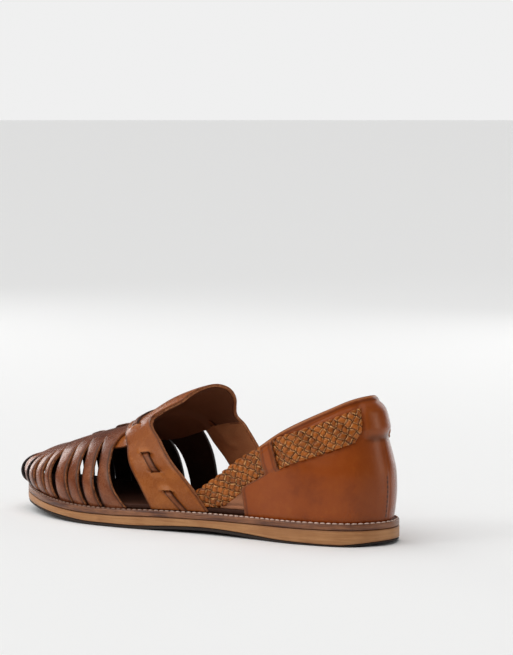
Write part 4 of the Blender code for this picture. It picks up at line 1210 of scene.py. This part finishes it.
# %% The four layers
inside = 4.0 + LEATHER + 2.5 * GAP      # from the sole's edge to the insole
layers = (
    ("tread_layer", "tread", "rubber", sole_bottom, tread_top,
     [(1.4, 0)] + rounded(0.3, 0.6, TREAD)[2:], rubber_look),
    ("outsole_layer", "outsole", "stacked_leather", lambda x: tread_top(x) + GAP, outsole_top,
     rounded(0.0, 0.5, 6.5), outsole_look),
    ("welt_layer", "midsole_welt", "welt_leather", lambda x: outsole_top(x) + GAP, welt_top,
     rounded(0.05, 0.8, MIDSOLE), welt_look),
    ("insole_layer", "insole", "insole_leather", lambda x: welt_top(x) + GAP, insole_top,
     rounded(inside, 0.9, INSOLE), shaded_insole_look))
for name, node, slot, low, high, profile, look in layers:
    layer = slab(name, low, high, profile, look)
    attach(layer, "root")
    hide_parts(node)


# %% [markdown]
# A pad of soft pinkish leather, the heel sock, lies on the insole from the heel to the waist.

# %% The heel sock
sock_look = flesh_leather("sock_leather", (0.3, 0.11, 0.05), (0.5, 0.22, 0.115), 0.6)
SOCK = 2.2
heel_sock = slab("heel_sock", insole_top, lambda x: insole_top(x) + SOCK, rounded(inside + 0.6, 0.9, SOCK),
                 sock_look, reach=182.0)
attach(heel_sock, "root")


# %% [markdown]
# The welt's stitches are a row of small pillows of waxed thread. One pillow is worked out and repeated
# along the sole's edge.

# %% Welt stitches
def build_stitches():
    """Each stitch is an ellipsoid along the edge: its centre + a * along + b * aside + c * up."""
    pitch, half_length, half_width, height = 4.0, 1.75, 0.55, 0.6
    rings, corners = 6, 8
    ring = sole_edge - edge_out * 1.25
    closed = np.vstack([ring, ring[:1]])
    run = np.r_[0, np.cumsum(np.linalg.norm(np.diff(closed, axis=0), axis=1))]
    count = int(run[-1] / pitch)
    at = (np.arange(count) + 0.5) * run[-1] / count
    centre, ahead = (np.stack([np.interp(place, run, closed[:, k]) for k in (0, 1)], axis=1)
                     for place in (at, at + 0.5))
    along = (ahead - centre) / np.linalg.norm(ahead - centre, axis=1)[:, None]
    aside = np.stack([-along[:, 1], along[:, 0]], axis=1)
    turn = np.linspace(0, 2 * np.pi, corners + 1)[:-1]
    u, v = (angle.ravel() for angle in np.meshgrid(turn, np.linspace(-0.5, 0.5, rings) * np.pi))
    a, b, c = half_length * np.sin(v), half_width * np.cos(v) * np.cos(u), height * np.cos(v) * np.sin(u)
    flat = centre[:, None] + along[:, None] * a[None, :, None] + aside[:, None] * b[None, :, None]
    z = welt_top(flat[..., 0]) + 0.12 + c[None, :]
    points = np.concatenate([flat, z[..., None]], axis=2).reshape(-1, 3)
    grid = np.arange(rings * corners).reshape(rings, corners)
    after = np.roll(grid, -1, axis=1)
    quads = np.stack([grid[:-1], after[:-1], after[1:], grid[1:]], axis=-1).reshape(-1, 4)
    faces = (quads[None] + grid.size * np.arange(count)[:, None, None]).reshape(-1, 4)
    first, number = merge_points(points)
    faces = number[faces]
    print(f"welt stitches: {count}")
    return new_mesh("welt_stitches", points[first], faces, [thread],
                    marks={"toe_darkening": soft(points[first][:, 0], 95, 185)})


waxed = Finish("waxed_thread", Roughness=0.55)
waxed_twist = waxed.noise(900.0)
thread_colour = waxed.mix(waxed_twist, (0.42, 0.25, 0.19), (0.78, 0.6, 0.5))
# The stitches darken from x 95 to 185 mm towards the toe.
thread = waxed.finish(waxed.mix(waxed.mark("toe_darkening") * 0.85, thread_colour, (0.17, 0.075, 0.04)))
stitches = build_stitches()
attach(stitches, "root")


# %% [markdown]
# ## Studio
#
# The shoe stands on a pale floor under broad soft lights, as in a catalogue.

# %% Floor
def build_floor():
    """A wide flat disc."""
    turn = np.linspace(0, 2 * np.pi, 97)[:-1]
    points = np.stack([40 * np.cos(turn), 40 * np.sin(turn), 0 * turn], axis=1)
    f = Finish("studio_floor", Roughness=0.8)
    f.shader.inputs["Base Color"].default_value = (0.84, 0.84, 0.835, 1)
    return new_mesh("studio_floor", points, np.arange(96)[None, :], [f.material], world=False)


floor = build_floor()


# %% Lights and air
def lamp(name, kind, energy, target, place=(0, 0, 0), mirrored=True, **shape):
    """A light that looks from place to target; for a sun, whose place counts for nothing, the target is its
    direction. One that isn't mirrored lights the leather without a highlight."""
    data = bpy.data.lights.new(name, kind)
    for setting, value in {"energy": energy, **shape}.items():
        setattr(data, setting, value)
    made = bpy.data.objects.new(name, data)
    made.visible_glossy, made.location = mirrored, place
    toward = mathutils.Vector(target) - mathutils.Vector(place)
    made.rotation_euler = toward.to_track_quat("-Z", "Y").to_euler()
    bpy.context.scene.collection.objects.link(made)


lamp("overhead", "SUN", 1.1, (-0.25, -0.3, -1), angle=math.radians(90))
lamp("fill", "SUN", 1.65, (-0.25, -0.3, -1), angle=math.radians(105), mirrored=False)
for name, place, target, width, height, power in (
        ("side_light", (1.0, 2.0, 1.3), (0, 0, 0.05), 0.9, 0.9, 8),
        ("toe_light", (2.1, -0.75, 0.45), (0.1, 0, 0.05), 0.6, 1.2, 8),
        ("heel_light", (-1.75, -0.75, 0.5), (-0.1, 0, 0.05), 0.35, 1.2, 4),
        ("rim_light", (0.2, -1.8, 0.5), (-0.1, 0, 0.05), 0.9, 1.3, 4.5)):
    lamp(name, "AREA", power, target, place, shape="RECTANGLE", size=width, size_y=height)


def studio_air(seen, lit):
    """The room is as pale as its walls to the eye, but gives the leather little to reflect."""
    air = bpy.data.worlds.new("studio_air")
    air.use_nodes = True
    nodes, links = air.node_tree.nodes, air.node_tree.links
    ray = nodes.new("ShaderNodeLightPath")
    level = nodes.new("ShaderNodeMapRange")
    level.inputs["To Min"].default_value, level.inputs["To Max"].default_value = lit, seen
    links.new(ray.outputs["Is Camera Ray"], level.inputs["Value"])
    links.new(level.outputs["Result"], nodes["Background"].inputs["Strength"])
    nodes["Background"].inputs["Color"].default_value = (1, 1, 1, 1)
    return air


bpy.context.scene.world = studio_air(0.87, 0.12)
bpy.context.scene.view_settings.view_transform = "Standard"

# %% Camera
# The camera looks from behind the shoe's outer side, a little down, through a long lens.
CAMERA_PLACE = (-1.2254, 1.47075, 0.27105)
CAMERA_HEADING, CAMERA_PITCH = math.atan2(-0.780, 0.626), 0.0754436
CAMERA_LENS = 164.9

camera_data = bpy.data.cameras.new("camera")
camera_data.lens, camera_data.sensor_width = CAMERA_LENS, 36.0
camera_data.clip_start, camera_data.clip_end = 0.05, 50
camera = bpy.data.objects.new("camera", camera_data)
bpy.context.scene.collection.objects.link(camera)
camera.location = CAMERA_PLACE
camera.rotation_euler = (math.pi / 2 - CAMERA_PITCH, 0, CAMERA_HEADING - math.pi / 2)
bpy.context.scene.camera = camera
